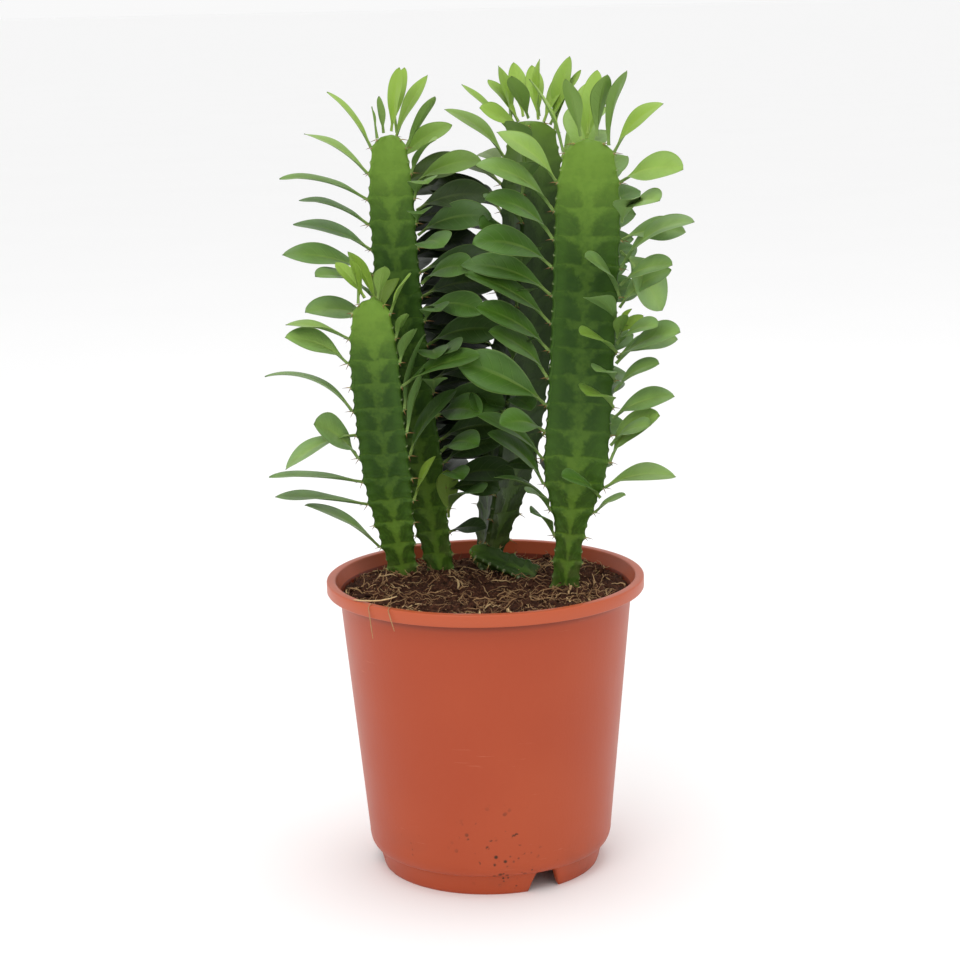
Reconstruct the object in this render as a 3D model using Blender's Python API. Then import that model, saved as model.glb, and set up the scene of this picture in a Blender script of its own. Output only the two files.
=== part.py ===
"""Potted euphorbia: three-ribbed stems with leaves on their ribs, in a plastic nursery pot.

Metres, +Z up. The origin is the centre of the pot's base, on the surface that it stands on.
-Y is the front, and +X is the right-hand side seen from the front.
"""

import math
from dataclasses import dataclass

import bmesh
import bpy
from mathutils import Matrix, Vector

MM = 0.001
GAP = 0.3 * MM  # left between neighbours that touch

# Pot
POT_HEIGHT = 158.8 * MM
RIM_RADIUS = 85.0 * MM
RIM_WIDTH = 4.0 * MM  # the lip's flat top, with its outer bevel
LIP_DEPTH = 6.7 * MM
LIP_BEVEL = 1.0 * MM
WALL = 1.4 * MM
WALL_RADIUS_AT_BASE = 64.1 * MM  # the outer wall's cone, carried down to the base
WALL_TAPER = 0.0933
FOOT_HEIGHT = 11.6 * MM
FOOT_RADIUS = 58.5 * MM
FOOT_STEP_RADIUS = 62.3 * MM
FOOT_INSIDE_RADIUS = 57.8 * MM  # of the foot ring's inner side, at the floor
CORNER_HEIGHT = 20.0 * MM  # where the bottom corner's rounding ends
POT_SEGMENTS = 48
NOTCH_HEADINGS = (-62.0, 58.0, 178.0)  # degrees from +X
NOTCH_TOP = 11.0 * MM
NOTCH_BOTTOM = 19.0 * MM
NOTCH_LIP = 0.8 * MM  # what is left of the ring above a notch
DRAIN_HOLES = 5
DRAIN_RADIUS = 5.0 * MM
DRAIN_CIRCLE = 38.0 * MM

# Soil
SOIL_LEVEL = 150.5 * MM
SOIL_EDGE_DROP = 1.5 * MM  # the surface's edge, below its mean level
SOIL_INSET = WALL + GAP + 0.15 * MM  # the last part clears the wall's flat facets
SOIL_RINGS = (74.5, 64.0, 50.0, 35.0, 18.0)  # mm, where the surface can rise and fall
SOIL_HEAPS = ((-45.0, 20.0, 30.0, 3.6), (50.0, 40.0, 26.0, 3.4))  # mm: x, y, spread, height
SOIL_WAVE = 0.9 * MM
SOIL_WAVE_PERIODS = (66.0, 79.0)  # mm, along X and along Y

# Stems
SOCKET_GROWTH = 0.5 * MM
FACE_DEPTH = 0.44  # a face's middle is this far out, as a share of the rib's radius
RIB_HALF_WIDTH = 1.6 * MM
TOOTH = 1.3 * MM  # how far each areole stands out of its rib
SHOULDER = 11.0 * MM  # the rounded top
TIP_SHARE = 0.25  # the flat top's radius, as a share of the shoulder's
TIP_TAPER = 0.22  # how much narrower the tip is than the stem below it
TIP_LENGTH = 36.0 * MM  # how far down the taper reaches
SWELL = 85.0 * MM  # how far above its foot a stem reaches its full width
LAST_RING = 0.12 * SHOULDER  # below the flat top
FIRST_AREOLE = 5.0 * MM  # below the tip

# Leaves
LEAF_THICKNESS = 1.0 * MM
LEAF_STATIONS = (0.0, 0.14, 0.38, 0.62, 0.86, 1.0)
LEAF_STANDOFF = 1.6 * MM  # from the rib to the leaf's stalk
STALK_HALF_WIDTH = 0.9 * MM
FOLD = math.radians(16)  # how far each half of the blade tips up


def eased(share):
    """A smooth rise from 0 at 0 to 1 at 1."""
    share = min(max(share, 0), 1)
    return share * share * (3 - 2 * share)


@dataclass(frozen=True)
class Stem:
    """One three-ribbed stem, from its foot in the soil to its tip."""

    name: str
    foot: tuple  # mm
    tip: tuple  # mm
    bow: tuple  # mm, the middle's offset from a straight line
    radius: float  # mm, to the ribs' edges
    foot_share: float  # the neck's radius, as a share of the full one
    neck: float  # mm, from the foot to where the stem starts to widen
    ribs: dict  # each rib's name and its heading in degrees
    spacing: float  # mm, between areoles

    def length(self):
        return (Vector(self.tip) - Vector(self.foot)).length * MM

    def axis(self, t):
        """The stem's middle at t, from 0 at the foot to 1 at the tip."""
        straight = Vector(self.foot).lerp(Vector(self.tip), t)
        return (straight + Vector((*self.bow, 0)) * 4 * t * (1 - t)) * MM

    def frame(self, t):
        """The directions across the stem there: right and back."""
        along = (self.axis(t + 0.01) - self.axis(t - 0.01)).normalized()
        right = Vector((0, 1, 0)).cross(along).normalized()
        return right, along.cross(right)

    def outward(self, t, heading):
        right, back = self.frame(t)
        angle = math.radians(heading)
        return right * math.cos(angle) + back * math.sin(angle)

    def areole_t(self, number):
        """Where an areole sits; number 0 is the one nearest the tip."""
        return 1 - (FIRST_AREOLE + number * self.spacing * MM) / self.length()

    def rib_radius(self, t):
        """Distance from the axis to a rib's edge, between its teeth."""
        neck = self.neck * MM
        body = self.foot_share + (1 - self.foot_share) * eased((t * self.length() - neck) / (SWELL - neck))
        below_tip = (1 - t) * self.length()
        taper = 1 - TIP_TAPER * (1 - eased(below_tip / TIP_LENGTH))
        cap = math.sqrt(max(0, 1 - (1 - min(below_tip / SHOULDER, 1)) ** 2))
        return self.radius * MM * body * taper * (TIP_SHARE + (1 - TIP_SHARE) * cap)


@dataclass(frozen=True)
class Leaf:
    """One leaf: where it grows, and how it points."""

    rib: str
    areole: int  # counted down from the tip, which has number 0
    turn: float  # degrees from the rib's own heading, anticlockwise from above
    rise: float  # degrees from base to point, above level
    length: float  # mm
    width: float  # mm
    arch: float = 40.0  # degrees that the midrib bends down along its length
    roll: float = 20.0  # degrees that its upper face turns to the front


SIDE_RIBS = {"west": 210.0, "east": 330.0, "north": 90.0}

STEMS = (
    Stem(
        name="stem_front_left",
        foot=(-42.0, 36.0, 137.0),
        tip=(-55.8, -5.0, 309.0),
        bow=(-3.0, 0.0),
        radius=14.8,
        foot_share=0.55,
        neck=10.0,
        ribs={"west": 204.0, "east": 324.0, "north": 84.0},
        spacing=13.6,
    ),
    Stem(
        name="stem_tall_left",
        foot=(-21.5, 46.0, 137.0),
        tip=(-44.8, 22.0, 392.0),
        bow=(-5.4, 0.0),
        radius=13.8,
        foot_share=0.6,
        neck=10.0,
        ribs={"west": 202.0, "east": 322.0, "north": 82.0},
        spacing=13.4,
    ),
    Stem(
        name="stem_back",
        foot=(-3.0, 58.0, 137.0),
        tip=(29.0, 35.0, 397.0),
        bow=(7.5, -1.5),
        radius=18.6,
        foot_share=0.45,
        neck=10.0,
        ribs={"west": 138.0, "south": 258.0, "east": 18.0},
        spacing=15.2,
    ),
    Stem(
        name="stem_right",
        foot=(41.8, 13.0, 137.0),
        tip=(57.6, -12.0, 389.5),
        bow=(2.6, 0.0),
        radius=19.3,
        foot_share=0.43,
        neck=36.0,
        ribs=SIDE_RIBS,
        spacing=14.8,
    ),
    Stem(
        name="shoot_low",
        foot=(27.0, 28.0, 149.0),
        tip=(-8.0, 40.0, 163.0),
        bow=(0.0, 0.0),
        radius=8.2,
        foot_share=0.9,
        neck=0.0,
        ribs={"upper": 20.0, "front": 260.0, "lower": 140.0},
        spacing=9.0,
    ),
)

# Each rib's leaves: areole, turn, rise, length, width, arch, and where it differs roll.
LEAVES = {
    "stem_tall_left": {
        "west": (
            (0, -28, 52, 37, 12, 25, 5),
            (1, -30, 32, 40, 15, 32, 5),
            (2, -20, 14, 48, 17, 38, 8),
            (3, -30, 19, 40, 16, 37, 3),
            (4, -35, 17, 45, 19, 32, 10),
            (5, -12, 14, 50, 20, 32, 26),
        ),
        "east": ((0, -5, 50, 34, 10, 8, 0), (2, -40, 14, 42, 16, 50, 75), (4, -32, 5, 42, 20, 36, 75)),
        "north": (
            (0, -42, 55, 42, 11, 20, 9),
            (3, 15, 35, 42, 18, 40),
            (6, -10, 25, 38, 18, 40),
            (10, 5, 20, 34, 16, 40),
        ),
    },
    "stem_front_left": {
        "west": (
            (1, -17, 14, 34, 17, 30, 5),
            (2, -4, 25, 38, 19, 42, 38),
            (4, -23, 23, 53, 16, 70, 0),
            (5, 2, -20, 44, 17, 42, 10),
            (7, -17, 5, 50, 18, 14, 0),
            (8, -17, 7, 50, 18, 8, 6),
            (10, -2, 33, 51, 19, 29, 17),
        ),
        "east": ((0, 20, 60, 24, 11, 20), (2, -32, 42, 30, 12, 28, 60)),
        "north": ((0, 75, 60, 30, 12, 20, 10),),
    },
    "stem_right": {
        "west": (
            (0, -25, 65, 41, 12, 26, 12),
            (1, -33, 40, 40, 19, 33, 26),
            (2, -11, 30, 50, 20, 54, 32),
            (3, -1, 29, 47, 20, 56, 42),
            (4, -11, 18, 47, 22, 54, 43),
            (6, -23, 31, 52, 20, 35, 28),
            (8, -13, 39, 42, 20, 45, 39),
            (9, -28, 27, 53, 24, 27, 60),
            (11, -17, 35, 44, 19, 35, 23),
            (12, -17, 44, 43, 19, 42, 29),
        ),
        "east": (
            (0, 15, 43, 36, 16, 39, 31),
            (1, -18, 10, 45, 19, 35, 75),
            (2, -37, 11, 42, 17, 25, 75),
            (4, 3, 31, 50, 21, 60, 32),
            (7, -90, 20, 43, 16, 25, 50),
            (9, -82, 17, 46, 20, 37, 45),
            (11, 1, 42, 41, 20, 54, 49),
        ),
        "north": (
            (1, 10, 50, 44, 18, 40),
            (4, -28, 35, 46, 20, 40),
            (7, -40, 30, 46, 20, 40),
            (10, -45, 20, 42, 18, 40),
        ),
    },
    "stem_back": {
        "west": ((1, 30, 38, 42, 18, 39, 18), (2, 27, 14, 43, 20, 55, 15), (6, 10, 20, 46, 20, 40)),
        "south": ((0, -45, 28, 32, 14, 24, 60), (3, -25, 25, 36, 16, 40, 30)),
        "east": ((0, 20, 74, 40, 14, 14, 10), (3, 10, 30, 44, 20, 40), (7, 5, 25, 44, 20, 40)),
    },
}


def material(name, colour, roughness):
    """A plain Principled material; colour is linear red, green and blue."""
    made = bpy.data.materials.new(name)
    made.use_nodes = True
    shader = made.node_tree.nodes["Principled BSDF"]
    shader.inputs["Base Color"].default_value = (*colour, 1)
    shader.inputs["Roughness"].default_value = roughness
    shader.inputs["Metallic"].default_value = 0.0
    made.diffuse_color = (*colour, 1)
    return made


def object_of(name, mesh, finish):
    """A new object holding a bmesh, shaded smooth except along its sharp edges."""
    bmesh.ops.recalc_face_normals(mesh, faces=mesh.faces)
    data = bpy.data.meshes.new(name)
    mesh.to_mesh(data)
    mesh.free()
    data.shade_smooth()
    data.set_sharp_from_angle(angle=math.radians(35))
    data.materials.append(finish)
    made = bpy.data.objects.new(name, data)
    bpy.context.scene.collection.objects.link(made)
    return made


def cutter_of(name, mesh):
    """A helper object for a Boolean, which isn't part of the model."""
    made = object_of(name, mesh, bpy.data.materials["cutter"])
    made.hide_render = True
    made.display_type = "WIRE"
    return made


def cut(target, tool):
    change = target.modifiers.new(tool.name, "BOOLEAN")
    change.operation = "DIFFERENCE"
    change.object = tool


def wall_radius(z):
    """The pot's outer wall at a height."""
    return WALL_RADIUS_AT_BASE + WALL_TAPER * z


def spun(profile, segments):
    """A solid turned about Z from a profile of (radius, height) points that starts and ends on the axis."""
    mesh = bmesh.new()
    corners = [mesh.verts.new((radius, 0, height)) for radius, height in profile]
    edges = [mesh.edges.new(pair) for pair in zip(corners, corners[1:])]
    bmesh.ops.spin(
        mesh,
        geom=corners + edges,
        axis=(0, 0, 1),
        cent=(0, 0, 0),
        angle=math.tau,
        steps=segments,
        use_merge=True,
    )
    bmesh.ops.remove_doubles(mesh, verts=mesh.verts, dist=0.01 * MM)
    return mesh


def bottom_corner(offset, lowest):
    """The rounded bottom corner of the pot's wall, moved in by an offset, from low to high."""
    top = wall_radius(CORNER_HEIGHT) - offset
    reach = wall_radius(CORNER_HEIGHT) - FOOT_STEP_RADIUS
    height = CORNER_HEIGHT - lowest
    turns = [math.radians(degrees) for degrees in (0, 30, 60, 90)]
    return [(top - reach * (1 - math.sin(a)), CORNER_HEIGHT - height * math.cos(a)) for a in turns]


def pot(finish):
    lip_bottom = POT_HEIGHT - LIP_DEPTH
    throat = wall_radius(lip_bottom) - WALL
    floor_top = FOOT_HEIGHT + WALL
    profile = [
        (0, FOOT_HEIGHT),
        (FOOT_INSIDE_RADIUS, FOOT_HEIGHT),
        (FOOT_RADIUS - WALL, 0),
        (FOOT_RADIUS, 0),
        *bottom_corner(0, FOOT_HEIGHT),
        (wall_radius(lip_bottom), lip_bottom),
        (RIM_RADIUS - LIP_BEVEL, lip_bottom),
        (RIM_RADIUS, lip_bottom + LIP_BEVEL),
        (RIM_RADIUS - 0.3 * LIP_BEVEL, POT_HEIGHT - LIP_BEVEL),
        (RIM_RADIUS - LIP_BEVEL, POT_HEIGHT),
        (RIM_RADIUS - RIM_WIDTH, POT_HEIGHT),
        (RIM_RADIUS - RIM_WIDTH - 0.7 * LIP_BEVEL, POT_HEIGHT - LIP_BEVEL),
        (throat, lip_bottom - LIP_BEVEL),
        *reversed(bottom_corner(WALL, floor_top)),
        (0, floor_top),
    ]
    shell = object_of("pot", spun(profile, POT_SEGMENTS), finish)
    for number, heading in enumerate(NOTCH_HEADINGS):
        cut(shell, cutter_of(f"notch_cutter_{number}", notch(heading)))
    for number in range(DRAIN_HOLES):
        cut(shell, cutter_of(f"drain_cutter_{number}", drain(math.tau * number / DRAIN_HOLES)))
    return shell


def notch(heading):
    """A tapered block across the foot ring, wide end down."""
    mesh = bmesh.new()
    near, far = FOOT_RADIUS - 6 * WALL, FOOT_STEP_RADIUS + 3 * WALL
    low, high = -WALL, FOOT_HEIGHT - NOTCH_LIP
    ends = []
    for x in (near, far):
        outline = ((-NOTCH_BOTTOM, low), (NOTCH_BOTTOM, low), (NOTCH_TOP, high), (-NOTCH_TOP, high))
        ends.append([mesh.verts.new((x, y / 2, z)) for y, z in outline])
    mesh.faces.new(reversed(ends[0]))
    mesh.faces.new(ends[1])
    for i in range(4):
        j = (i + 1) % 4
        mesh.faces.new((ends[0][i], ends[0][j], ends[1][j], ends[1][i]))
    mesh.transform(Matrix.Rotation(math.radians(heading), 4, "Z"))
    return mesh


def drain(angle):
    """A short upright cylinder through the pot's floor."""
    mesh = bmesh.new()
    centre = Vector((math.cos(angle), math.sin(angle), 0)) * DRAIN_CIRCLE
    centre.z = FOOT_HEIGHT + WALL / 2
    bmesh.ops.create_cone(
        mesh,
        cap_ends=True,
        segments=14,
        radius1=DRAIN_RADIUS,
        radius2=DRAIN_RADIUS,
        depth=4 * WALL,
        matrix=Matrix.Translation(centre),
    )
    return mesh


def soil_rise(x, y):
    """How far the soil's surface stands above its mean level there."""
    along, back = (math.tau / (period * MM) for period in SOIL_WAVE_PERIODS)
    rise = SOIL_WAVE * math.sin(along * x + 0.6) * math.cos(back * y - 0.4)
    for heap_x, heap_y, spread, height in SOIL_HEAPS:
        away = math.hypot(x - heap_x * MM, y - heap_y * MM) / (spread * MM)
        rise += height * MM * math.exp(-away * away)
    return rise


def soil(finish):
    top = SOIL_LEVEL - SOIL_EDGE_DROP
    floor_top = FOOT_HEIGHT + WALL + GAP
    profile = [
        (0, floor_top),
        *bottom_corner(SOIL_INSET, floor_top),
        (wall_radius(top) - SOIL_INSET, top),
        *((radius * MM, SOIL_LEVEL) for radius in SOIL_RINGS),
        (0, SOIL_LEVEL),
    ]
    mesh = spun(profile, POT_SEGMENTS)
    for corner in mesh.verts:
        if corner.co.z > SOIL_LEVEL - SOIL_EDGE_DROP / 2:
            corner.co.z += soil_rise(corner.co.x, corner.co.y)
    return object_of("soil", mesh, finish)


def ring(mesh, stem, t, tooth, growth):
    """One cross-section of a stem: three blunt ribs with a hollow face between each two."""
    middle = stem.axis(t)
    radius = stem.rib_radius(t)
    points = []
    for heading in sorted(stem.ribs.values()):
        rib = stem.outward(t, heading)
        across = stem.outward(t, heading + 90)
        hollow = stem.outward(t, heading + 60)
        edge = rib * (radius + tooth + growth)
        half = min(RIB_HALF_WIDTH, 0.3 * radius) + growth
        points.append(middle + edge - across * half)
        points.append(middle + edge + across * half)
        points.append(middle + hollow * (radius * FACE_DEPTH + growth))
    return [mesh.verts.new(point) for point in points]


def stem_body(stem, growth=0.0):
    """A stem as one closed solid. Growth swells it, for cutting its socket in the soil."""
    step = stem.spacing * MM / stem.length() / 2
    extra = growth / stem.length()
    stops = [(-extra, 0.0)]
    count = int((stem.areole_t(0)) / step)
    for number in range(count, -1, -1):
        t = stem.areole_t(number / 2)
        if t > 0.6 * step:
            stops.append((t, TOOTH if number % 2 == 0 else 0.0))
    stops += [(1 - LAST_RING / stem.length(), 0.0), (1.0 + extra, 0.0)]
    mesh = bmesh.new()
    rings = [ring(mesh, stem, t, tooth, growth) for t, tooth in stops]
    mesh.faces.new(reversed(rings[0]))
    for low, high in zip(rings, rings[1:]):
        for i in range(len(low)):
            j = (i + 1) % len(low)
            mesh.faces.new((low[i], low[j], high[j], high[i]))
    mesh.faces.new(rings[-1])
    return mesh


def half_width(s, width):
    """Half a leaf's width at s, from 0 at its stalk to 1 at its point: widest past the middle."""
    return max(width / 2 * math.sin(math.pi * s**1.4) ** 0.75, STALK_HALF_WIDTH * (1 - s))


def leaf_frame(stem, leaf):
    """The leaf's base, its heading as a level direction, and the level direction across it."""
    t = stem.areole_t(leaf.areole)
    rib = stem.outward(t, stem.ribs[leaf.rib])
    base = stem.axis(t) + rib * (stem.rib_radius(t) + TOOTH + LEAF_STANDOFF)
    heading = math.atan2(rib.y, rib.x) + math.radians(leaf.turn)
    forward = Vector((math.cos(heading), math.sin(heading), 0))
    return base, forward, Vector((0, 0, 1)).cross(forward)


def leaf_midrib(stem, leaf):
    """Points along the midrib with the blade's side and upward directions at each."""
    base, forward, level = leaf_frame(stem, leaf)
    found, point, before = [], base, 0.0
    for s in LEAF_STATIONS:
        pitch = math.radians(leaf.rise + leaf.arch * (0.5 - (s + before) / 2))
        along = forward * math.cos(pitch) + Vector((0, 0, math.sin(pitch)))
        point = point + along * (s - before) * leaf.length * MM
        spin = Matrix.Rotation(math.radians(leaf.roll) * level.y, 3, along)
        side = spin @ level
        found.append((s, point, side, along.cross(side)))
        before = s
    return found


def leaf_body(stem, leaf):
    """A thin folded blade, as an open sheet that a Solidify thickens."""
    mesh = bmesh.new()
    rows = []
    for s, point, side, up in leaf_midrib(stem, leaf):
        if s == 1.0:
            rows.append([mesh.verts.new(point)])
            continue
        half = half_width(s, leaf.width * MM)
        spread = side * half * math.cos(FOLD)
        lift = up * half * math.sin(FOLD)
        rows.append([mesh.verts.new(p) for p in (point - spread + lift, point, point + spread + lift)])
    for low, high in zip(rows, rows[1:]):
        if len(high) == 1:
            mesh.faces.new((low[0], low[1], high[0]))
            mesh.faces.new((low[1], low[2], high[0]))
            continue
        for i in range(2):
            mesh.faces.new((low[i], low[i + 1], high[i + 1], high[i]))
    return mesh


def grow_leaf(stem, leaf, finish):
    name = f"leaf_{stem.name.removeprefix('stem_')}_{leaf.rib}_{leaf.areole:02d}"
    made = object_of(name, leaf_body(stem, leaf), finish)
    thicken = made.modifiers.new("blade", "SOLIDIFY")
    thicken.thickness = LEAF_THICKNESS
    thicken.offset = 0.0
    return made


def main():
    for old in list(bpy.data.objects):
        bpy.data.objects.remove(old)
    bpy.data.materials.new("cutter")
    pot(material("pot_plastic", (0.46, 0.10, 0.045), 0.42))
    bed = soil(material("potting_soil", (0.06, 0.025, 0.015), 0.95))
    bark = material("stem_green", (0.09, 0.19, 0.035), 0.5)
    blade = material("leaf_green", (0.10, 0.25, 0.05), 0.42)
    for stem in STEMS:
        object_of(stem.name, stem_body(stem), bark)
        cut(bed, cutter_of(f"socket_{stem.name}", stem_body(stem, SOCKET_GROWTH)))
        for rib, rows in LEAVES.get(stem.name, {}).items():
            for row in rows:
                grow_leaf(stem, Leaf(rib, *row), blade)


main()
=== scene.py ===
"""The looks of a potted euphorbia: its stems, leaves, spines, soil and nursery pot.

Metres, +Z up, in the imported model's frame. -Y is the front, and the pot stands on z = 0.
"""

import logging
import math
import random
from dataclasses import dataclass, field
from enum import Enum

import bpy
import numpy as np
from mathutils import Matrix, Vector, noise


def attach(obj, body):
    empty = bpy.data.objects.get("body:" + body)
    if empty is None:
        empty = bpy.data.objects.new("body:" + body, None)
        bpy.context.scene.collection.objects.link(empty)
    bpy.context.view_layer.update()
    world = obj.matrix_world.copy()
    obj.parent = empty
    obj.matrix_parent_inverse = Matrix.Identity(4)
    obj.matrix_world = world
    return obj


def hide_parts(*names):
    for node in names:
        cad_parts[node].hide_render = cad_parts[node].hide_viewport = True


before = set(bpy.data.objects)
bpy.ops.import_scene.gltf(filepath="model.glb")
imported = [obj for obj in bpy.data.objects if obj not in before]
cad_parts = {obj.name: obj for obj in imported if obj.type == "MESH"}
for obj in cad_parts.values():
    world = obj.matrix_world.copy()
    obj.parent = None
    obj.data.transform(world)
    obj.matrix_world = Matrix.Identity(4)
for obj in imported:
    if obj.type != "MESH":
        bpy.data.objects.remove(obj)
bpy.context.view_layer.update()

MM = 0.001
LOG = logging.getLogger("euphorbia")

Colour = tuple[float, float, float]


def linear(red: int, green: int, blue: int) -> Colour:
    """Turns a display colour, 0 to 255, into the linear one that a shader takes.

    Args:
        red: Red on the display.
        green: Green on the display.
        blue: Blue on the display.

    Returns:
        The linear colour, each part from 0 to 1.
    """

    def part(value: int) -> float:
        """One channel, by the display's own curve."""
        share = value / 255
        return share / 12.92 if share <= 0.04045 else ((share + 0.055) / 1.055) ** 2.4

    return part(red), part(green), part(blue)


def smooth(low: float, high: float, value: float) -> float:
    """A soft step.

    Args:
        low: Where the step begins.
        high: Where it is complete.
        value: The number to test.

    Returns:
        0 below low, 1 above high, and a smooth rise between.
    """
    share = min(max((value - low) / (high - low), 0.0), 1.0)
    return share * share * (3 - 2 * share)


# ---------------------------------------------------------------- shader building


class Field:
    """A number that varies over a surface. Python's operators add the Math nodes."""

    def __init__(self, shader: "Shader", socket: bpy.types.NodeSocket) -> None:
        """Wraps one output socket of a shader's tree."""
        self.shader = shader
        self.socket = socket

    def _math(self, operation: str, *values: "Field | float") -> "Field":
        """Adds one Math node.

        Args:
            operation: The node's operation.
            values: Its inputs, in order.

        Returns:
            The node's result.
        """
        return self.shader.node("ShaderNodeMath", {"operation": operation}, dict(enumerate(values)))

    def __add__(self, other: "Field | float") -> "Field":
        """self + other."""
        return self._math("ADD", self, other)

    def __radd__(self, other: float) -> "Field":
        """other + self."""
        return self._math("ADD", other, self)

    def __sub__(self, other: "Field | float") -> "Field":
        """self - other."""
        return self._math("SUBTRACT", self, other)

    def __rsub__(self, other: float) -> "Field":
        """other - self."""
        return self._math("SUBTRACT", other, self)

    def __mul__(self, other: "Field | float") -> "Field":
        """self * other."""
        return self._math("MULTIPLY", self, other)

    def __rmul__(self, other: float) -> "Field":
        """other * self."""
        return self._math("MULTIPLY", other, self)

    def __truediv__(self, other: "Field | float") -> "Field":
        """self / other."""
        return self._math("DIVIDE", self, other)

    def __abs__(self) -> "Field":
        """abs(self)."""
        return self._math("ABSOLUTE", self)

    def fraction(self) -> "Field":
        """What is left after the whole part."""
        return self._math("FRACT", self)

    def at_most(self, limit: float) -> "Field":
        """self, held at or under the limit."""
        return self._math("MINIMUM", self, limit)

    def or_more(self, other: "Field") -> "Field":
        """The greater of the two."""
        return self._math("MAXIMUM", self, other)

    def step(self, low: float, high: float) -> "Field":
        """A soft step from 0 at low to 1 at high.

        Args:
            low: Where the step begins. It may be above high, for a falling step.
            high: Where it ends.

        Returns:
            The stepped field.
        """
        settings = {"interpolation_type": "SMOOTHSTEP", "clamp": True}
        values = (self, low, high, 0.0, 1.0)
        if low > high:
            values = (self, high, low, 1.0, 0.0)
        return self.shader.node("ShaderNodeMapRange", settings, dict(enumerate(values)))


class Shader:
    """One material's node tree, around a Principled BSDF."""

    def __init__(self, name: str) -> None:
        """Makes a new material with only its Principled shader and output.

        Args:
            name: The material's name.
        """
        self.material = bpy.data.materials.new(name)
        self.material.use_nodes = True
        self.tree = self.material.node_tree
        self.principled = self.tree.nodes["Principled BSDF"]

    def node(self, kind: str, settings: dict, values: dict, out: int | str = 0) -> Field:
        """Adds any node.

        Args:
            kind: The node's type.
            settings: Its properties, set before its sockets. A "stops" entry fills a colour ramp.
            values: Its inputs by name or number: a Field to link, or a plain value.
            out: The output to return.

        Returns:
            The chosen output.
        """
        made = self.tree.nodes.new(kind)
        for key, value in settings.items():
            if key == "stops":
                self._fill_ramp(made.color_ramp, value)
            else:
                setattr(made, key, value)
        for key, value in values.items():
            if isinstance(value, Field):
                self.tree.links.new(value.socket, made.inputs[key])
            else:
                made.inputs[key].default_value = value
        return Field(self, made.outputs[out])

    @staticmethod
    def _fill_ramp(ramp: bpy.types.ColorRamp, stops: list[tuple[float, Colour]]) -> None:
        """Sets a ramp's stops.

        Args:
            ramp: The ramp to fill.
            stops: Each stop's place from 0 to 1, and its colour.
        """
        while len(ramp.elements) < len(stops):
            ramp.elements.new(1.0)
        for element, (place, colour) in zip(ramp.elements, stops):
            element.position = place
            element.color = (*colour, 1.0)

    def attribute(self, name: str) -> Field:
        """A number stored on the mesh's points."""
        return self.node("ShaderNodeAttribute", {"attribute_name": name}, {}, "Fac")

    def place(self) -> Field:
        """The point's own position, in metres."""
        return self.node("ShaderNodeTexCoord", {}, {}, "Object")

    def noise(self, scale: float, detail: float = 3.0, stretch: tuple = (1, 1, 1)) -> Field:
        """Soft noise about 0.5.

        Args:
            scale: Its frequency, in cycles a metre.
            detail: How many finer layers it has.
            stretch: The position's multiplier along each axis.

        Returns:
            The noise.
        """
        values = {0: self.place(), 1: stretch}
        where = self.node("ShaderNodeVectorMath", {"operation": "MULTIPLY"}, values)
        values = {"Vector": where, "Scale": scale, "Detail": detail}
        return self.node("ShaderNodeTexNoise", {}, values, "Fac")

    def cells(self, scale: float) -> Field:
        """The distance to the nearest of many scattered points.

        Args:
            scale: How many of them there are to a metre.

        Returns:
            The distance, in their own spacing.
        """
        values = {"Vector": self.place(), "Scale": scale}
        return self.node("ShaderNodeTexVoronoi", {}, values, "Distance")

    def near(self, middle: tuple[float, float, float], full: float, reach: float) -> Field:
        """A soft round patch.

        Args:
            middle: Its middle, in metres.
            full: How far from there it is whole.
            reach: How far from there it ends.

        Returns:
            1 inside and 0 outside.
        """
        values = {0: self.place(), 1: middle}
        away = self.node("ShaderNodeVectorMath", {"operation": "DISTANCE"}, values, "Value")
        return away.step(reach, full)

    def blend(self, share: Field | float, first: Field | Colour, second: Field | Colour) -> Field:
        """Mixes two colours.

        Args:
            share: 0 for the first, 1 for the second.
            first: A colour or a colour field.
            second: A colour or a colour field.

        Returns:
            The mixed colour.
        """
        pair = [c if isinstance(c, Field) else (*c, 1.0) for c in (first, second)]
        settings = {"data_type": "RGBA", "clamp_factor": True}
        return self.node("ShaderNodeMix", settings, {0: share, 6: pair[0], 7: pair[1]}, 2)

    def ramp(self, along: Field, stops: list[tuple[float, Colour]]) -> Field:
        """A colour ramp.

        Args:
            along: Where on the ramp, from 0 to 1.
            stops: Each stop's place and colour.

        Returns:
            The colour.
        """
        return self.node("ShaderNodeValToRGB", {"stops": stops}, {0: along}, "Color")

    def bump(self, height: Field, depth: float) -> Field:
        """A Bump node.

        Args:
            height: The relief, 0 to 1.
            depth: How deep it is, in metres.

        Returns:
            The bent normal.
        """
        values = {"Strength": 1.0, "Distance": depth, "Height": height}
        return self.node("ShaderNodeBump", {}, values, "Normal")

    def finish(self, **values: Field | float | Colour) -> bpy.types.Material:
        """Sets the Principled shader's sockets.

        Args:
            values: Each socket's name with _ for a space, and its Field, number or colour.

        Returns:
            The material.
        """
        for key, value in values.items():
            socket = self.principled.inputs[key.replace("_", " ")]
            if isinstance(value, Field):
                self.tree.links.new(value.socket, socket)
            elif isinstance(value, tuple) and len(value) == 3 and socket.type == "RGBA":
                socket.default_value = (*value, 1.0)
            else:
                socket.default_value = value
        return self.material


# ---------------------------------------------------------------- finishes


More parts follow.
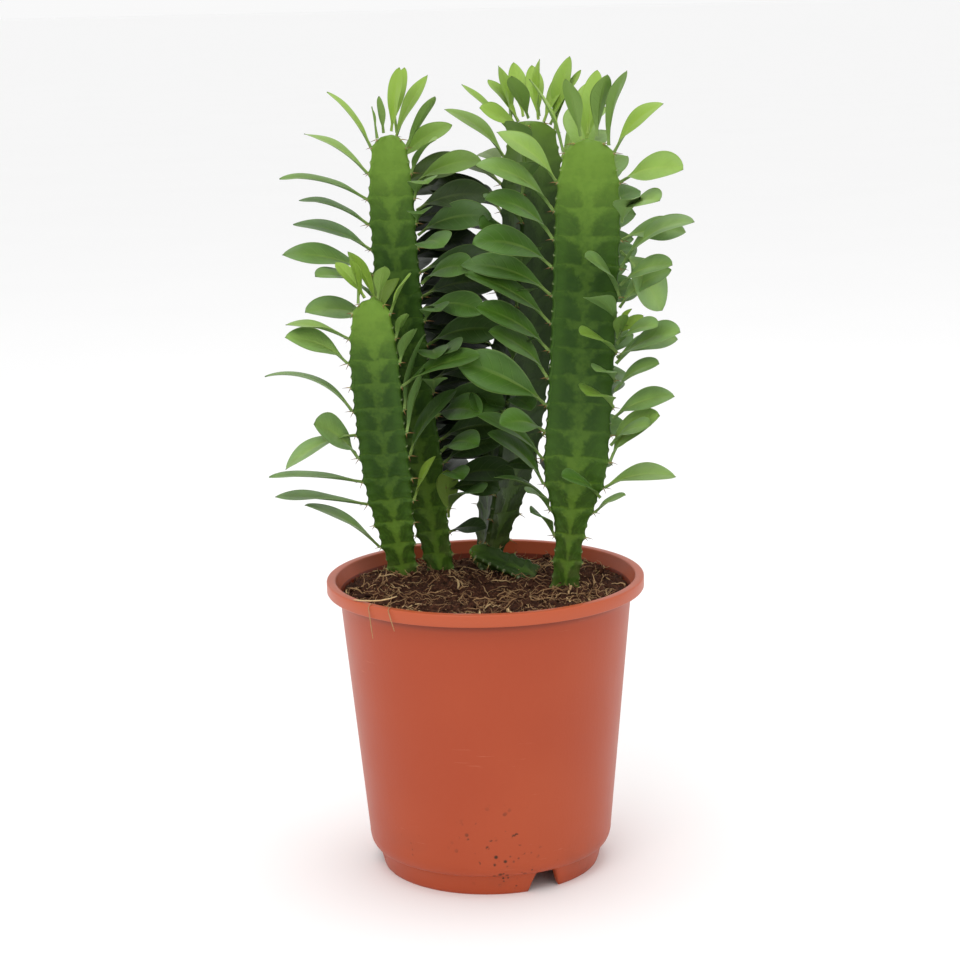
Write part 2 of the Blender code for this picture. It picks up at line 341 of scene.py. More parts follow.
@dataclass(frozen=True)
class PotPlastic:
    """Satin terracotta-coloured moulded plastic, scuffed, with soil specks low down, a painted
    highlight on the lip and painted shadow under it.

    Heights are shares of the pot's own.
    """

    body: Colour = linear(168, 66, 30)
    warm: Colour = linear(174, 73, 36)
    scuff: Colour = linear(206, 130, 104)
    # The next two colours are a painted highlight on the lip and a painted shadow just under it.
    lip: Colour = linear(188, 88, 52)
    under_lip_shadow: Colour = linear(78, 26, 12)
    soil: Colour = linear(70, 44, 28)
    lip_highlight: tuple = (0.957, 0.962)
    under_lip_shadow_fade: tuple = (0.925, 0.952)
    under_lip_shadow_edge: tuple = (0.959, 0.9575)
    dirt_fade: tuple = (0.24, 0.05)
    smear_at: tuple = (0.004, -0.064, 0.028)
    smear_reach: tuple = (0.008, 0.03)

    def build(self) -> bpy.types.Material:
        """Makes the finish.

        Returns:
            The material.
        """
        s = Shader("pot_plastic")
        height = s.attribute("height")
        colour = s.blend(s.noise(9, 2).step(0.35, 0.7), self.body, self.warm)
        scratches = s.noise(60, 4, (1, 1, 14)).step(0.66, 0.74) * s.noise(22, 2).step(0.5, 0.62)
        colour = s.blend(scratches * 0.35, colour, self.scuff)
        # Painted highlight over the lip.
        colour = s.blend(height.step(*self.lip_highlight) * 0.8, colour, self.lip)
        # Painted shadow in a band just under the lip.
        under_lip_shadow = height.step(*self.under_lip_shadow_fade) * height.step(*self.under_lip_shadow_edge)
        colour = s.blend(under_lip_shadow * 0.6, colour, self.under_lip_shadow)
        low = height.step(*self.dirt_fade)
        smears = s.cells(230).step(0.34, 0.16) * s.noise(150, 3).step(0.48, 0.56)
        smears = smears * s.near(self.smear_at, *self.smear_reach)
        specks = s.cells(330).step(0.26, 0.12) * s.noise(40, 3).step(0.54, 0.64) * low
        specks = specks.or_more(smears)
        film = s.noise(28, 5).step(0.55, 0.8) * low * 0.3
        colour = s.blend((specks + film).at_most(1.0), colour, self.soil)
        grain = s.noise(900, 2) * 0.35 + s.noise(120, 3, (1, 1, 0.2)) * 0.65
        rough = 0.34 + s.noise(35, 4) * 0.12 + specks * 0.4 + scratches * 0.12
        return s.finish(
            Base_Color=colour,
            Roughness=rough,
            Normal=s.bump(grain + specks * 2.0, 0.00012),
            Specular_IOR_Level=0.36,
        )


@dataclass(frozen=True)
class PottingSoil:
    """Loose reddish-brown peat and coir."""

    wet: Colour = linear(30, 16, 10)
    peat: Colour = linear(70, 40, 26)
    dry: Colour = linear(122, 78, 56)
    fleck: Colour = linear(176, 140, 104)

    def build(self) -> bpy.types.Material:
        """Makes the finish.

        Returns:
            The material.
        """
        s = Shader("potting_soil")
        lump = s.noise(420, 6) * 0.6 + s.noise(1500, 3) * 0.4
        colour = s.ramp(lump, [(0.3, self.wet), (0.5, self.peat), (0.72, self.dry)])
        colour = s.blend(s.noise(60, 2).step(0.4, 0.7) * 0.4, colour, self.wet)
        fleck = s.cells(900).step(0.22, 0.1) * s.noise(260, 2).step(0.56, 0.62)
        colour = s.blend(fleck * 0.8, colour, self.fleck)
        return s.finish(
            Base_Color=colour,
            Roughness=0.95,
            Normal=s.bump(lump + s.cells(1100) * 0.5, 0.0011),
            Specular_IOR_Level=0.2,
        )


@dataclass(frozen=True)
class StemSkin:
    """Waxy green skin: a pale band up each face, arms to each areole, dark scallops between, and
    painted shade over the stem's middle.
    """

    band: Colour = linear(100, 134, 44)
    green: Colour = linear(70, 106, 28)
    dark: Colour = linear(32, 60, 12)
    # The colour of the painted shade over the stem's middle.
    shade: Colour = linear(36, 66, 12)
    young: Colour = linear(116, 150, 54)
    nub: Colour = linear(186, 196, 150)
    woody: Colour = linear(92, 104, 54)

    def build(self, name: str) -> bpy.types.Material:
        """The finish as a material.

        Args:
            name: The material's name.

        Returns:
            The material.
        """
        s = Shader(name)
        wobble = s.noise(120, 4) - 0.5
        fine = s.noise(430, 3) - 0.5
        out = abs(s.attribute("face"))
        step = s.attribute("step")
        climb = s.attribute("climb")
        tooth = s.attribute("tooth")
        above = (1.0 - (step + wobble * 0.34 + out * 0.08).fraction()).fraction()
        reach = (1.0 - out + wobble * 0.7 + fine * 0.25) / 0.86
        height = (above - 0.02) / (1.02 + wobble * 0.9) + fine * 0.35
        scallop = (reach * reach + height * height).step(1.25, 0.7) * above.step(0.0, 0.1)
        scallop = scallop * step.step(40.3, 41.8)
        mottle = s.noise(330, 4).step(0.42, 0.68)
        blotch = s.noise(170, 5).step(0.5, 0.62) * out.step(0.1, 0.3)
        arcs = abs((reach * 2.2 + height * 2.6 + wobble * 3.0).fraction() - 0.5).step(0.22, 0.04)
        colour = s.blend(mottle * 0.3 + blotch * 0.4, self.band, self.green)
        deep = s.blend(mottle * 0.35 + arcs * 0.45, self.dark, self.green)
        contrast = climb.step(1.0, 0.7) * 0.5 + 0.24
        colour = s.blend(scallop * contrast, colour, deep)
        # Painted shade over the middle of the stem's height, fading out towards the soil and the
        # tip.
        middle = climb.step(0.94, 0.66) * climb.step(0.18, 0.42)
        colour = s.blend(middle * (0.66 + scallop * 0.12 + mottle * 0.16), colour, self.shade)
        colour = s.blend(out.step(0.5, 0.9) * climb.step(1.0, 0.8) * 0.35, colour, self.green)
        colour = s.blend(climb.step(0.82, 1.0) * 0.6, colour, self.young)
        worn = climb.step(0.16, 0.02) * s.noise(130, 4).step(0.4, 0.6) * 0.5
        colour = s.blend(worn, colour, self.woody)
        colour = s.blend(tooth.step(0.5, 0.95) * 0.75, colour, self.nub)
        relief = s.noise(700, 3) * 0.5 + scallop * 0.9 + s.noise(150, 2) * 0.6
        return s.finish(
            Base_Color=colour,
            Roughness=0.5 + s.noise(200, 3) * 0.12,
            Normal=s.bump(relief, 0.0003),
            Specular_IOR_Level=0.22,
            Subsurface_Weight=0.06,
            Subsurface_Radius=(0.002, 0.003, 0.001),
        )


@dataclass(frozen=True)
class LeafSkin:
    """A smooth leathery blade, yellow-green while young, paler at midrib and edge, with painted
    shade, light and sheen.
    """

    # From deep to pale runs the leaves' painted shade and light; sheen is a painted sheen.
    deep: Colour = linear(8, 20, 5)
    mature: Colour = linear(76, 116, 32)
    pale: Colour = linear(140, 174, 92)
    young: Colour = linear(150, 184, 62)
    rib: Colour = linear(166, 190, 96)
    sheen: Colour = linear(116, 150, 98)
    under: Colour = linear(104, 134, 74)

    def build(self) -> bpy.types.Material:
        """Makes the finish.

        Returns:
            The material.
        """
        s = Shader("leaf_skin")
        across = abs(s.attribute("across"))
        along = s.attribute("along")
        youth = s.attribute("youth")
        tone = s.attribute("tone")
        under = s.attribute("under")
        # The tone attribute is painted shade and light: dark deep among the stems and at the back,
        # pale at the front, the sides and the crown.
        colour = s.ramp(tone, [(0.0, self.deep), (0.5, self.mature), (1.0, self.pale)])
        colour = s.blend(s.noise(70, 3).step(0.35, 0.7) * 0.25, colour, self.deep)
        # A painted sheen towards the edges of the paler leaves.
        colour = s.blend(across.step(0.1, 0.85) * tone * 0.5, colour, self.sheen)
        colour = s.blend(youth * 0.85, colour, self.young)
        veins = (along * 9.0 - across * 1.6).fraction() - 0.5
        vein = abs(veins).step(0.06, 0.02) * across.step(0.95, 0.5) * across.step(0.02, 0.12)
        midrib = across.step(0.1, 0.03) * along.step(1.0, 0.35)
        stalk = along.step(0.2, 0.03)
        edge = across.step(0.94, 1.0)
        pale = midrib * (tone * 0.3 + 0.05) + stalk * 0.6 + edge * (tone * 0.5 + 0.1) + vein * 0.05
        colour = s.blend(pale.at_most(1.0), colour, self.rib)
        colour = s.blend(under * (tone * 0.4 + 0.3), colour, self.under)
        relief = s.noise(320, 3) * 0.6 + vein * -0.5 + midrib * -0.8
        return s.finish(
            Base_Color=colour,
            Roughness=0.4 + s.noise(110, 3) * 0.12 + under * 0.14,
            Normal=s.bump(relief, 0.00018),
            Specular_IOR_Level=0.34,
            Subsurface_Weight=0.12,
            Subsurface_Radius=(0.0012, 0.002, 0.0006),
        )


@dataclass(frozen=True)
class SpineHorn:
    """Hard brown spines, yellowish at the base and dark at the point."""

    base: Colour = linear(176, 170, 92)
    shaft: Colour = linear(148, 104, 56)
    point: Colour = linear(58, 30, 20)

    def build(self) -> bpy.types.Material:
        """Makes the finish.

        Returns:
            The material.
        """
        s = Shader("spine_horn")
        along = s.attribute("along") + (s.noise(600, 2) - 0.5) * 0.2
        colour = s.ramp(along, [(0.05, self.base), (0.35, self.shaft), (0.9, self.point)])
        return s.finish(Base_Color=colour, Roughness=0.45 + s.noise(500, 2) * 0.2)


@dataclass(frozen=True)
class DryFibre:
    """Straw, coir and wood chips, each in its own shade."""

    dark: Colour = linear(92, 58, 38)
    tan: Colour = linear(168, 128, 86)
    straw: Colour = linear(222, 190, 138)

    def build(self) -> bpy.types.Material:
        """Makes the finish.

        Returns:
            The material.
        """
        s = Shader("dry_fibre")
        stops = [(0.0, self.dark), (0.5, self.tan), (1.0, self.straw)]
        colour = s.ramp(s.attribute("tone") + (s.noise(300, 3) - 0.5) * 0.3, stops)
        colour = s.blend(s.noise(1200, 3).step(0.5, 0.7) * 0.4, colour, self.dark)
        relief = s.noise(1500, 2)
        return s.finish(Base_Color=colour, Roughness=0.8, Normal=s.bump(relief, 0.0002))


# ---------------------------------------------------------------- meshes and pieces


@dataclass
class Sheet:
    """Points, faces and point attributes that become one mesh."""

    points: list = field(default_factory=list)
    faces: list = field(default_factory=list)
    marks: dict = field(default_factory=dict)

    def add(self, points: list, faces: list, **marks: list | float) -> None:
        """Adds a patch.

        Args:
            points: Its points.
            faces: Its faces, as numbers of its own points.
            marks: Each attribute's values, or one value for all its points.
        """
        first = len(self.points)
        self.points.extend(points)
        self.faces.extend(tuple(first + i for i in face) for face in faces)
        for key, values in marks.items():
            if isinstance(values, (int, float)):
                values = [values] * len(points)
            self.marks.setdefault(key, []).extend(values)

    def build(self, name: str, material: bpy.types.Material) -> bpy.types.Object:
        """Makes the object, shaded smooth.

        Args:
            name: The object's name.
            material: Its only material.

        Returns:
            The new object, in the scene.
        """
        mesh = bpy.data.meshes.new(name)
        mesh.from_pydata([tuple(p) for p in self.points], [], self.faces)
        mesh.validate()
        for key, values in self.marks.items():
            layer = mesh.attributes.new(key, "FLOAT", "POINT")
            layer.data.foreach_set("value", np.asarray(values, np.float32))
        mesh.materials.append(material)
        mesh.shade_smooth()
        made = bpy.data.objects.new(name, mesh)
        bpy.context.scene.collection.objects.link(made)
        return made


def bridge(rows: int, columns: int, closed: bool) -> list[tuple]:
    """Faces between rows of points.

    Args:
        rows: How many rows there are.
        columns: How many points each has.
        closed: Whether each row's last point joins its first.

    Returns:
        Quads, with rows that run up and points that run anticlockwise facing out.
    """
    faces = []
    for row in range(rows - 1):
        for i in range(columns if closed else columns - 1):
            j = (i + 1) % columns
            low, high = row * columns, (row + 1) * columns
            faces.append((low + i, low + j, high + j, high + i))
    return faces


def capped(rows: int, columns: int) -> list[tuple]:
    """Faces of a closed tube with flat ends.

    Args:
        rows: How many rings of points there are.
        columns: How many points each has.

    Returns:
        The tube's faces, then its two ends.
    """
    last = (rows - 1) * columns
    ends = [tuple(reversed(range(columns))), tuple(range(last, last + columns))]
    return bridge(rows, columns, True) + ends


def fan_ends(sheet: Sheet, count: int, low: tuple, high: tuple, **marks: float) -> None:
    """Closes a sheet's first and last rings with fans.

    Args:
        sheet: A sheet of rings only.
        count: How many points each ring has.
        low: The middle of the first ring's fan.
        high: The middle of the last ring's.
        marks: The two middle points' attributes.
    """
    middle = len(sheet.points)
    last = middle - count
    sheet.add([low, high], [], **marks)
    for i in range(count):
        j = (i + 1) % count
        sheet.faces.append((middle, j, i))
        sheet.faces.append((middle + 1, last + i, last + j))


def circle(count: int) -> list[tuple[float, float]]:
    """Evenly spaced unit directions, anticlockwise from +X."""
    turns = [math.tau * i / count for i in range(count)]
    return [(math.cos(turn), math.sin(turn)) for turn in turns]


def place_piece(piece: bpy.types.Object, slot: str, *nodes: str) -> None:
    """Makes a piece part of the plant, and logs it.

    Args:
        piece: The new object.
        slot: The record's material slot. It is not used.
        nodes: The CAD nodes that it stands for.
    """
    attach(piece, "root")
    if nodes:
        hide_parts(*nodes)
    LOG.info("%s: %d faces, for %d nodes", piece.name, len(piece.data.polygons), len(nodes))


# ---------------------------------------------------------------- the pot


@dataclass
class NurseryPot:
    """The pot: tapered wall, rolled lip, rounded bottom corner and notched foot ring."""

    height: float = 158.8 * MM
    rim_radius: float = 85.0 * MM
    lip_depth: float = 6.7 * MM
    rim_width: float = 3.9 * MM
    roll: float = 0.9 * MM
    wall: float = 1.4 * MM
    base_radius: float = 64.1 * MM
    taper: float = 0.0933
    foot_height: float = 11.6 * MM
    foot_radius: float = 58.5 * MM
    step_radius: float = 62.3 * MM
    step_inset: float = 0.8 * MM
    corner_height: float = 20.0 * MM
    notch_headings: tuple = (-62.0, 58.0, 178.0)
    notch_top: float = 11.0 * MM
    notch_bottom: float = 19.0 * MM
    notch_gap: float = 0.9 * MM
    drain_holes: int = 5
    drain_radius: float = 5.0 * MM
    drain_circle: float = 38.0 * MM
    segments: int = 288

    def wall_radius(self, z: float) -> float:
        """The outer wall's radius at a height."""
        return self.base_radius + self.taper * z

    def corner(self, inset: float, lowest: float) -> list[tuple]:
        """The rounded bottom corner.

        Args:
            inset: How far it lies inside the outer surface.
            lowest: Its lowest height.

        Returns:
            Points of (radius, height), from low to high.
        """
        top = self.wall_radius(self.corner_height) - inset
        reach = self.wall_radius(self.corner_height) - self.step_radius
        drop = self.corner_height - lowest
        turns = [math.pi / 2 * i / 8 for i in range(9)]
        return [
            (top - reach * (1 - math.sin(turn)), self.corner_height - drop * math.cos(turn))
            for turn in turns
        ]

    def notch_height(self, angle: float) -> float:
        """How high the foot ring's lower edge is at an angle round the pot.

        Args:
            angle: Radians from +X.

        Returns:
            0 between the notches, and nearly the ring's height inside one.
        """
        top = self.foot_height - self.notch_gap
        for heading in self.notch_headings:
            away = (angle - math.radians(heading) + math.pi) % math.tau - math.pi
            across = abs(away) * self.foot_radius
            slope = (self.notch_bottom / 2 - across) / (self.notch_bottom - self.notch_top) * 2
            if slope > 0:
                return top * smooth(-0.1, 1.1, min(slope, 1.1))
        return 0.0

    def profile(self) -> list[tuple]:
        """The wall's section, up the outside and down the inside.

        Returns:
            Its points: radius, height, and whether the notches move it.
        """
        lip = self.height - self.lip_depth
        rim, roll, foot = self.rim_radius, self.roll, self.foot_radius
        throat = self.wall_radius(lip) - self.wall
        crown = [
            (rim - roll + roll * math.cos(turn), self.height - roll + roll * math.sin(turn))
            for turn in (0, 0.35, 0.7, 1.05, 1.57)
        ]
        mouth = rim - self.rim_width
        inner = [
            (mouth - roll * math.sin(turn), self.height - roll * (1 - math.cos(turn)))
            for turn in (0, 0.5, 1.0, 1.57)
        ]
        walls = np.linspace(self.corner_height, lip - 1.2 * MM, 26)[1:]
        ledge = self.step_radius - self.step_inset - foot
        outside = [
            (foot - 0.3 * MM, 0.0, True),
            (foot, 0.3 * MM, True),
            *((foot + ledge * i / 5, self.foot_height * i / 5 * 0.97, True) for i in range(1, 6)),
            *((r, z, False) for r, z in self.corner(0, self.foot_height)),
            *((self.wall_radius(z), z, False) for z in walls),
            (self.wall_radius(lip) + 0.5 * MM, lip - 0.3 * MM, False),
            (self.wall_radius(lip) + 1.2 * MM, lip, False),
            (rim - 1.2 * MM, lip, False),
            (rim - 0.4 * MM, lip + 0.2 * MM, False),
            (rim, lip + 0.8 * MM, False),
            *((r, z, False) for r, z in crown),
        ]
        floor_corner = self.corner(self.wall, self.foot_height + self.wall)
        inside = [
            *((r, z, False) for r, z in inner),
            (throat + 1.0 * MM, lip, False),
            (throat, lip - 2.0 * MM, False),
            *((self.wall_radius(z) - self.wall, z, False) for z in walls[-3:0:-4]),
            *((r, z, False) for r, z in reversed(floor_corner)),
        ]
        return outside + inside

    def floor_profile(self) -> list[tuple]:
        """The floor's underside and the foot ring's inner side, as profile gives the rest."""
        return [
            (self.step_radius - 4.5 * MM, self.foot_height, False),
            (self.foot_radius - self.wall, self.foot_height * 0.5, True),
            (self.foot_radius - self.wall, 0.3 * MM, True),
            (self.foot_radius - self.wall + 0.3 * MM, 0.0, True),
        ]

    def ring(self, radius: float, z: float, notched: bool) -> list[tuple]:
        """One ring of points.

        Args:
            radius: Its radius.
            z: Its height.
            notched: Whether the notches lift it.

        Returns:
            The points, anticlockwise from above.
        """
        points = []
        for i, (x, y) in enumerate(circle(self.segments)):
            lifted = self.notch_height(math.tau * i / self.segments) if notched else 0.0
            points.append((radius * x, radius * y, max(z, lifted)))
        return points

    def drill(self, pot: bpy.types.Object) -> None:
        """Cuts the drain holes with a Boolean and applies it.

        Args:
            pot: The pot's object.
        """
        holes = Sheet()
        sides, past = circle(32), 3 * MM
        ends = (self.foot_height - past, self.foot_height + self.wall + past)
        for x, y in circle(self.drain_holes):
            x, y = self.drain_circle * x, self.drain_circle * y
            radius = self.drain_radius
            rows = [(x + radius * u, y + radius * v, z) for z in ends for u, v in sides]
            holes.add(rows, capped(2, len(sides)), height=0.0)
        cutter = holes.build("drain_cutter", pot.data.materials[0])
        change = pot.modifiers.new("drains", "BOOLEAN")
        change.operation = "DIFFERENCE"
        change.object = cutter
        graph = bpy.context.evaluated_depsgraph_get()
        cut = bpy.data.meshes.new_from_object(pot.evaluated_get(graph), depsgraph=graph)
        pot.modifiers.clear()
        pot.data = cut
        bpy.data.objects.remove(cutter)

    def build(self, plastic: bpy.types.Material) -> bpy.types.Object:
        """Makes the pot.

        Args:
            plastic: Its finish.

        Returns:
            The pot's object, riding in place of its CAD node.
        """
        sheet = Sheet()
        rings = self.floor_profile() + self.profile()
        for radius, z, notched in rings:
            sheet.add(self.ring(radius, z, notched), [], height=z / self.height)
        sheet.faces.extend(bridge(len(rings), self.segments, True))
        low, high = (0, 0, self.foot_height), (0, 0, self.foot_height + self.wall)
        fan_ends(sheet, self.segments, low, high, height=0.0)
        pot = sheet.build("nursery_pot", plastic)
        self.drill(pot)
        pot.data.set_sharp_from_angle(angle=math.radians(50))
        place_piece(pot, "pot_plastic", "pot")
        return pot


# ---------------------------------------------------------------- the soil and what lies on it


@dataclass(frozen=True)
class Heap:
    """A low round heap of soil."""

    x: float
    y: float
    spread: float  # square metres
    rise: float  # mm


@dataclass
class SoilBed:
    """The soil: a plug in the pot with a rough, heaped surface."""

    pot: NurseryPot
    heaps: tuple[Heap, ...] = (Heap(-0.045, 0.02, 0.0009, 3.6), Heap(0.05, 0.04, 0.0007, 3.4))
    wave_rise: float = 0.9  # mm
    lump_rise: float = 2.0  # mm
    crumb_rise: float = 1.5  # mm
    level: float = 150.5 * MM
    gap: float = 0.35 * MM
    rings: int = 100
    segments: int = 260

    def radius(self) -> float:
        """The surface's outer radius."""
        return self.pot.wall_radius(self.level) - self.pot.wall - self.gap

    def rise(self, x: float, y: float) -> float:
        """The surface's height there, without its crumbs.

        Args:
            x: Metres to the right.
            y: Metres to the back.

        Returns:
            The height in metres.
        """
        heaped = 0.0
        for heap in self.heaps:
            away = (x - heap.x) ** 2 + (y - heap.y) ** 2
            heaped += heap.rise * math.exp(-away / heap.spread)
        waves = math.sin(95 * x + 0.6) * math.cos(80 * y - 0.4)
        return self.level + (heaped + self.wave_rise * waves) * MM

    def top(self, x: float, y: float) -> float:
        """The surface's height there, crumbs and all.

        Args:
            x: Metres to the right.
            y: Metres to the back.

        Returns:
            The height in metres.
        """
        where = Vector((x, y, 0.0))
        lumps = noise.turbulence(where * 190, 3, False) - 0.45
        crumbs = noise.turbulence(where * 620 + Vector((7, 3, 1)), 3, True) - 0.5
        return self.rise(x, y) + (self.lump_rise * lumps + self.crumb_rise * crumbs) * MM

    def build(self, finish: bpy.types.Material) -> bpy.types.Object:
        """Makes the soil.

        Args:
            finish: Its material.

        Returns:
            The soil's object, riding in place of its CAD node.
        """
        sheet = Sheet()
        floor = self.pot.foot_height + self.pot.wall + self.gap
        inset = self.pot.wall + self.gap
        skirt = [(r, z) for r, z in self.pot.corner(inset, floor)]
        skirt += [(self.pot.wall_radius(z) - inset, z) for z in (60 * MM, 100 * MM, 140 * MM)]
        for r, z in skirt:
            sheet.add([(r * x, r * y, z) for x, y in circle(self.segments)], [])
        for row in range(self.rings):
            r = self.radius() * (1 - row / self.rings)
            places = [(r * x, r * y) for x, y in circle(self.segments)]
            sheet.add([(x, y, self.top(x, y)) for x, y in places], [])
        sheet.faces.extend(bridge(len(skirt) + self.rings, self.segments, True))
        fan_ends(sheet, self.segments, (0, 0, floor), (0, 0, self.top(0, 0)))
        soil = sheet.build("soil_bed", finish)
        place_piece(soil, "potting_soil", "soil")
        return soil


class Scrap(Enum):
    """What a loose strand on the soil is."""

    COIR = "coir"
    STRAW = "straw"
    ROOT = "root"


@dataclass(frozen=True)
class StrandHabit:
    """How many strands of one kind there are, and the ranges of their sizes."""

    count: int
    length: tuple[float, float]  # mm
    curl: float  # radians
    lift: float  # mm
    thickness: tuple[float, float]  # mm
    flat: float
    tone: tuple[float, float]


HABITS = {
    Scrap.COIR: StrandHabit(620, (4, 16), 2.2, 4.5, (0.12, 0.26), 1.0, (0.1, 0.8)),
    Scrap.STRAW: StrandHabit(26, (9, 24), 0.9, 3.0, (0.4, 0.75), 0.45, (0.6, 1.0)),
    Scrap.ROOT: StrandHabit(60, (10, 26), 3.0, 4.0, (0.22, 0.4), 1.0, (0.3, 0.7)),
}


@dataclass
class Litter:
    """Fibres, straws, crumbs and chips that lie on the soil."""

    soil: SoilBed
    seed: int = 17
    crumbs: int = 520
    crumb_size: tuple[float, float] = (0.7 * MM, 2.4 * MM)
    edge_gap: float = 3 * MM

    def tube(
        self, sheet: Sheet, path: list[Vector], radius: float, flat: float, tone: float
    ) -> None:
        """Adds one strand.

        Args:
            sheet: The mesh that it joins.
            path: Points along its middle.
            radius: Its thickness at the middle, in metres.
            flat: Its height as a share of its width.
            tone: Its shade, from dark at 0 to straw at 1.
        """
        around = circle(6)
        points = []
        for i, middle in enumerate(path):
            ahead = path[min(i + 1, len(path) - 1)] - path[max(i - 1, 0)]
            ahead = ahead.normalized()
            side = ahead.cross(Vector((0, 0, 1)))
            side = side.normalized() if side.length > 1e-6 else Vector((1, 0, 0))
            up = side.cross(ahead)
            share = i / (len(path) - 1)
            size = radius * (0.35 + 0.65 * math.sin(math.pi * min(max(share, 0.06), 0.94)) ** 0.5)
            points += [middle + side * size * u + up * size * flat * v for u, v in around]
        sheet.add(points, capped(len(path), len(around)), tone=tone)

    def scatter(self, draw: random.Random) -> tuple[float, float]:
        """Picks a place on the soil.

        Args:
            draw: The source of chance.

        Returns:
            Metres to the right and to the back.
        """
        reach = (self.soil.radius() - self.edge_gap) * math.sqrt(draw.random())
        angle = draw.uniform(0, math.tau)
        return reach * math.cos(angle), reach * math.sin(angle)

    def strand_path(
        self, draw: random.Random, length: float, curl: float, lift: float
    ) -> list[Vector]:
        """A curved path over the soil.

        Args:
            draw: The source of chance.
            length: The strand's length.
            curl: How far it bends, in radians.
            lift: How far its ends rise off the soil.

        Returns:
            Points along it.
        """
        x, y = self.scatter(draw)
        heading = draw.uniform(0, math.tau)
        bend = draw.uniform(-curl, curl)
        tilt = draw.uniform(-0.4, 1.0) * lift
        count = 9
        path = []
        for i in range(count):
            share = i / (count - 1)
            turn = heading + bend * share
            x += math.cos(turn) * length / count
            y += math.sin(turn) * length / count
            over = math.hypot(x, y) / (self.soil.radius() - 1.5 * MM)
            if over > 1:
                x, y = x / over, y / over
            z = self.soil.top(x, y) + 0.35 * MM + tilt * share * share
            path.append(Vector((x, y, z)))
        return path

    def spread(self, kind: Scrap, sheet: Sheet, draw: random.Random) -> None:
        """Adds all the strands of one kind.

        Args:
            kind: What they are.
            sheet: The mesh that they join.
            draw: The source of chance.
        """
        habit = HABITS[kind]
        for _ in range(habit.count):
            length = draw.uniform(*habit.length) * MM
            path = self.strand_path(draw, length, habit.curl, habit.lift * MM)
            radius = draw.uniform(*habit.thickness) * MM
            self.tube(sheet, path, radius, habit.flat, draw.uniform(*habit.tone))

    def crumb(self, sheet: Sheet, draw: random.Random) -> None:
        """Adds one crumb of peat or bark.

        Args:
            sheet: The mesh that it joins.
            draw: The source of chance.
        """
        x, y = self.scatter(draw)
        size = draw.uniform(*self.crumb_size) * (1.5 if draw.random() < 0.1 else 1)
        centre = Vector((x, y, self.soil.top(x, y) + 0.2 * size))
        squash = Vector((1, draw.uniform(0.5, 1.0), draw.uniform(0.3, 0.8)))
        spin = Matrix.Rotation(draw.uniform(0, math.tau), 3, "Z")
        spin = spin @ Matrix.Rotation(draw.uniform(-0.6, 0.6), 3, "X")
        rows, around = 5, circle(8)
        points = []
        for i in range(rows):
            polar = math.pi * (i + 0.5) / rows
            for u, v in around:
                ball = Vector((math.sin(polar) * u, math.sin(polar) * v, -math.cos(polar)))
                rough = 0.75 + 0.5 * noise.noise(ball * 2.1 + centre * 900)
                shaped = Vector(a * b for a, b in zip(ball * size * rough, squash))
                points.append(centre + spin @ shaped)
        sheet.add(points, capped(rows, len(around)))

    def rim_straw(self, sheet: Sheet) -> None:
        """Adds the straw across the rim at the front left, and the two strands that hang from it.

        Args:
            sheet: The mesh that they join.
        """
        pot = self.soil.pot
        top = pot.height + 0.6 * MM
        lie = [
            (-68.0, -50.0, 0.0), (-64.0, -52.5, 0.1), (-59.0, -54.5, 0.3),
            (-54.0, -56.0, 0.8), (-49.5, -56.0, 1.6), (-45.5, -55.0, 2.6),
        ]  # mm: across, back, and up from the rim
        path = [Vector((x * MM, y * MM, top + up * MM)) for x, y, up in lie]
        self.tube(sheet, path, 0.75 * MM, 0.5, 0.95)
        for start, drop, drift in ((-60.5, 20.0, 4.5), (-50.5, 13.0, 5.5)):
            heading = math.acos(start * MM / (pot.rim_radius + 0.4 * MM))
            hang = []
            for i in range(10):
                share = i / 9
                turn = -heading + drift * MM / pot.rim_radius * share
                inward = 4 * MM * (1 - min(share * 5, 1))
                over = pot.rim_radius - inward + 0.5 * MM + 1.2 * MM * share
                z = top - drop * MM * max(share - 0.15, 0)
                hang.append(Vector((over * math.cos(turn), over * math.sin(turn), z)))
            self.tube(sheet, hang, 0.28 * MM, 1.0, 0.55)

    def build(self, fibre: bpy.types.Material, peat: bpy.types.Material) -> None:
        """Makes the litter's pieces.

        Args:
            fibre: The strands' finish.
            peat: The crumbs' finish.
        """
        draw = random.Random(self.seed)
        for kind in Scrap:
            sheet = Sheet()
            self.spread(kind, sheet, draw)
            if kind is Scrap.STRAW:
                self.rim_straw(sheet)
            place_piece(sheet.build(f"litter_{kind.value}", fibre), "potting_soil")
        sheet = Sheet()
        for _ in range(self.crumbs):
            self.crumb(sheet, draw)
        place_piece(sheet.build("litter_crumbs", peat), "potting_soil")


# ---------------------------------------------------------------- stems


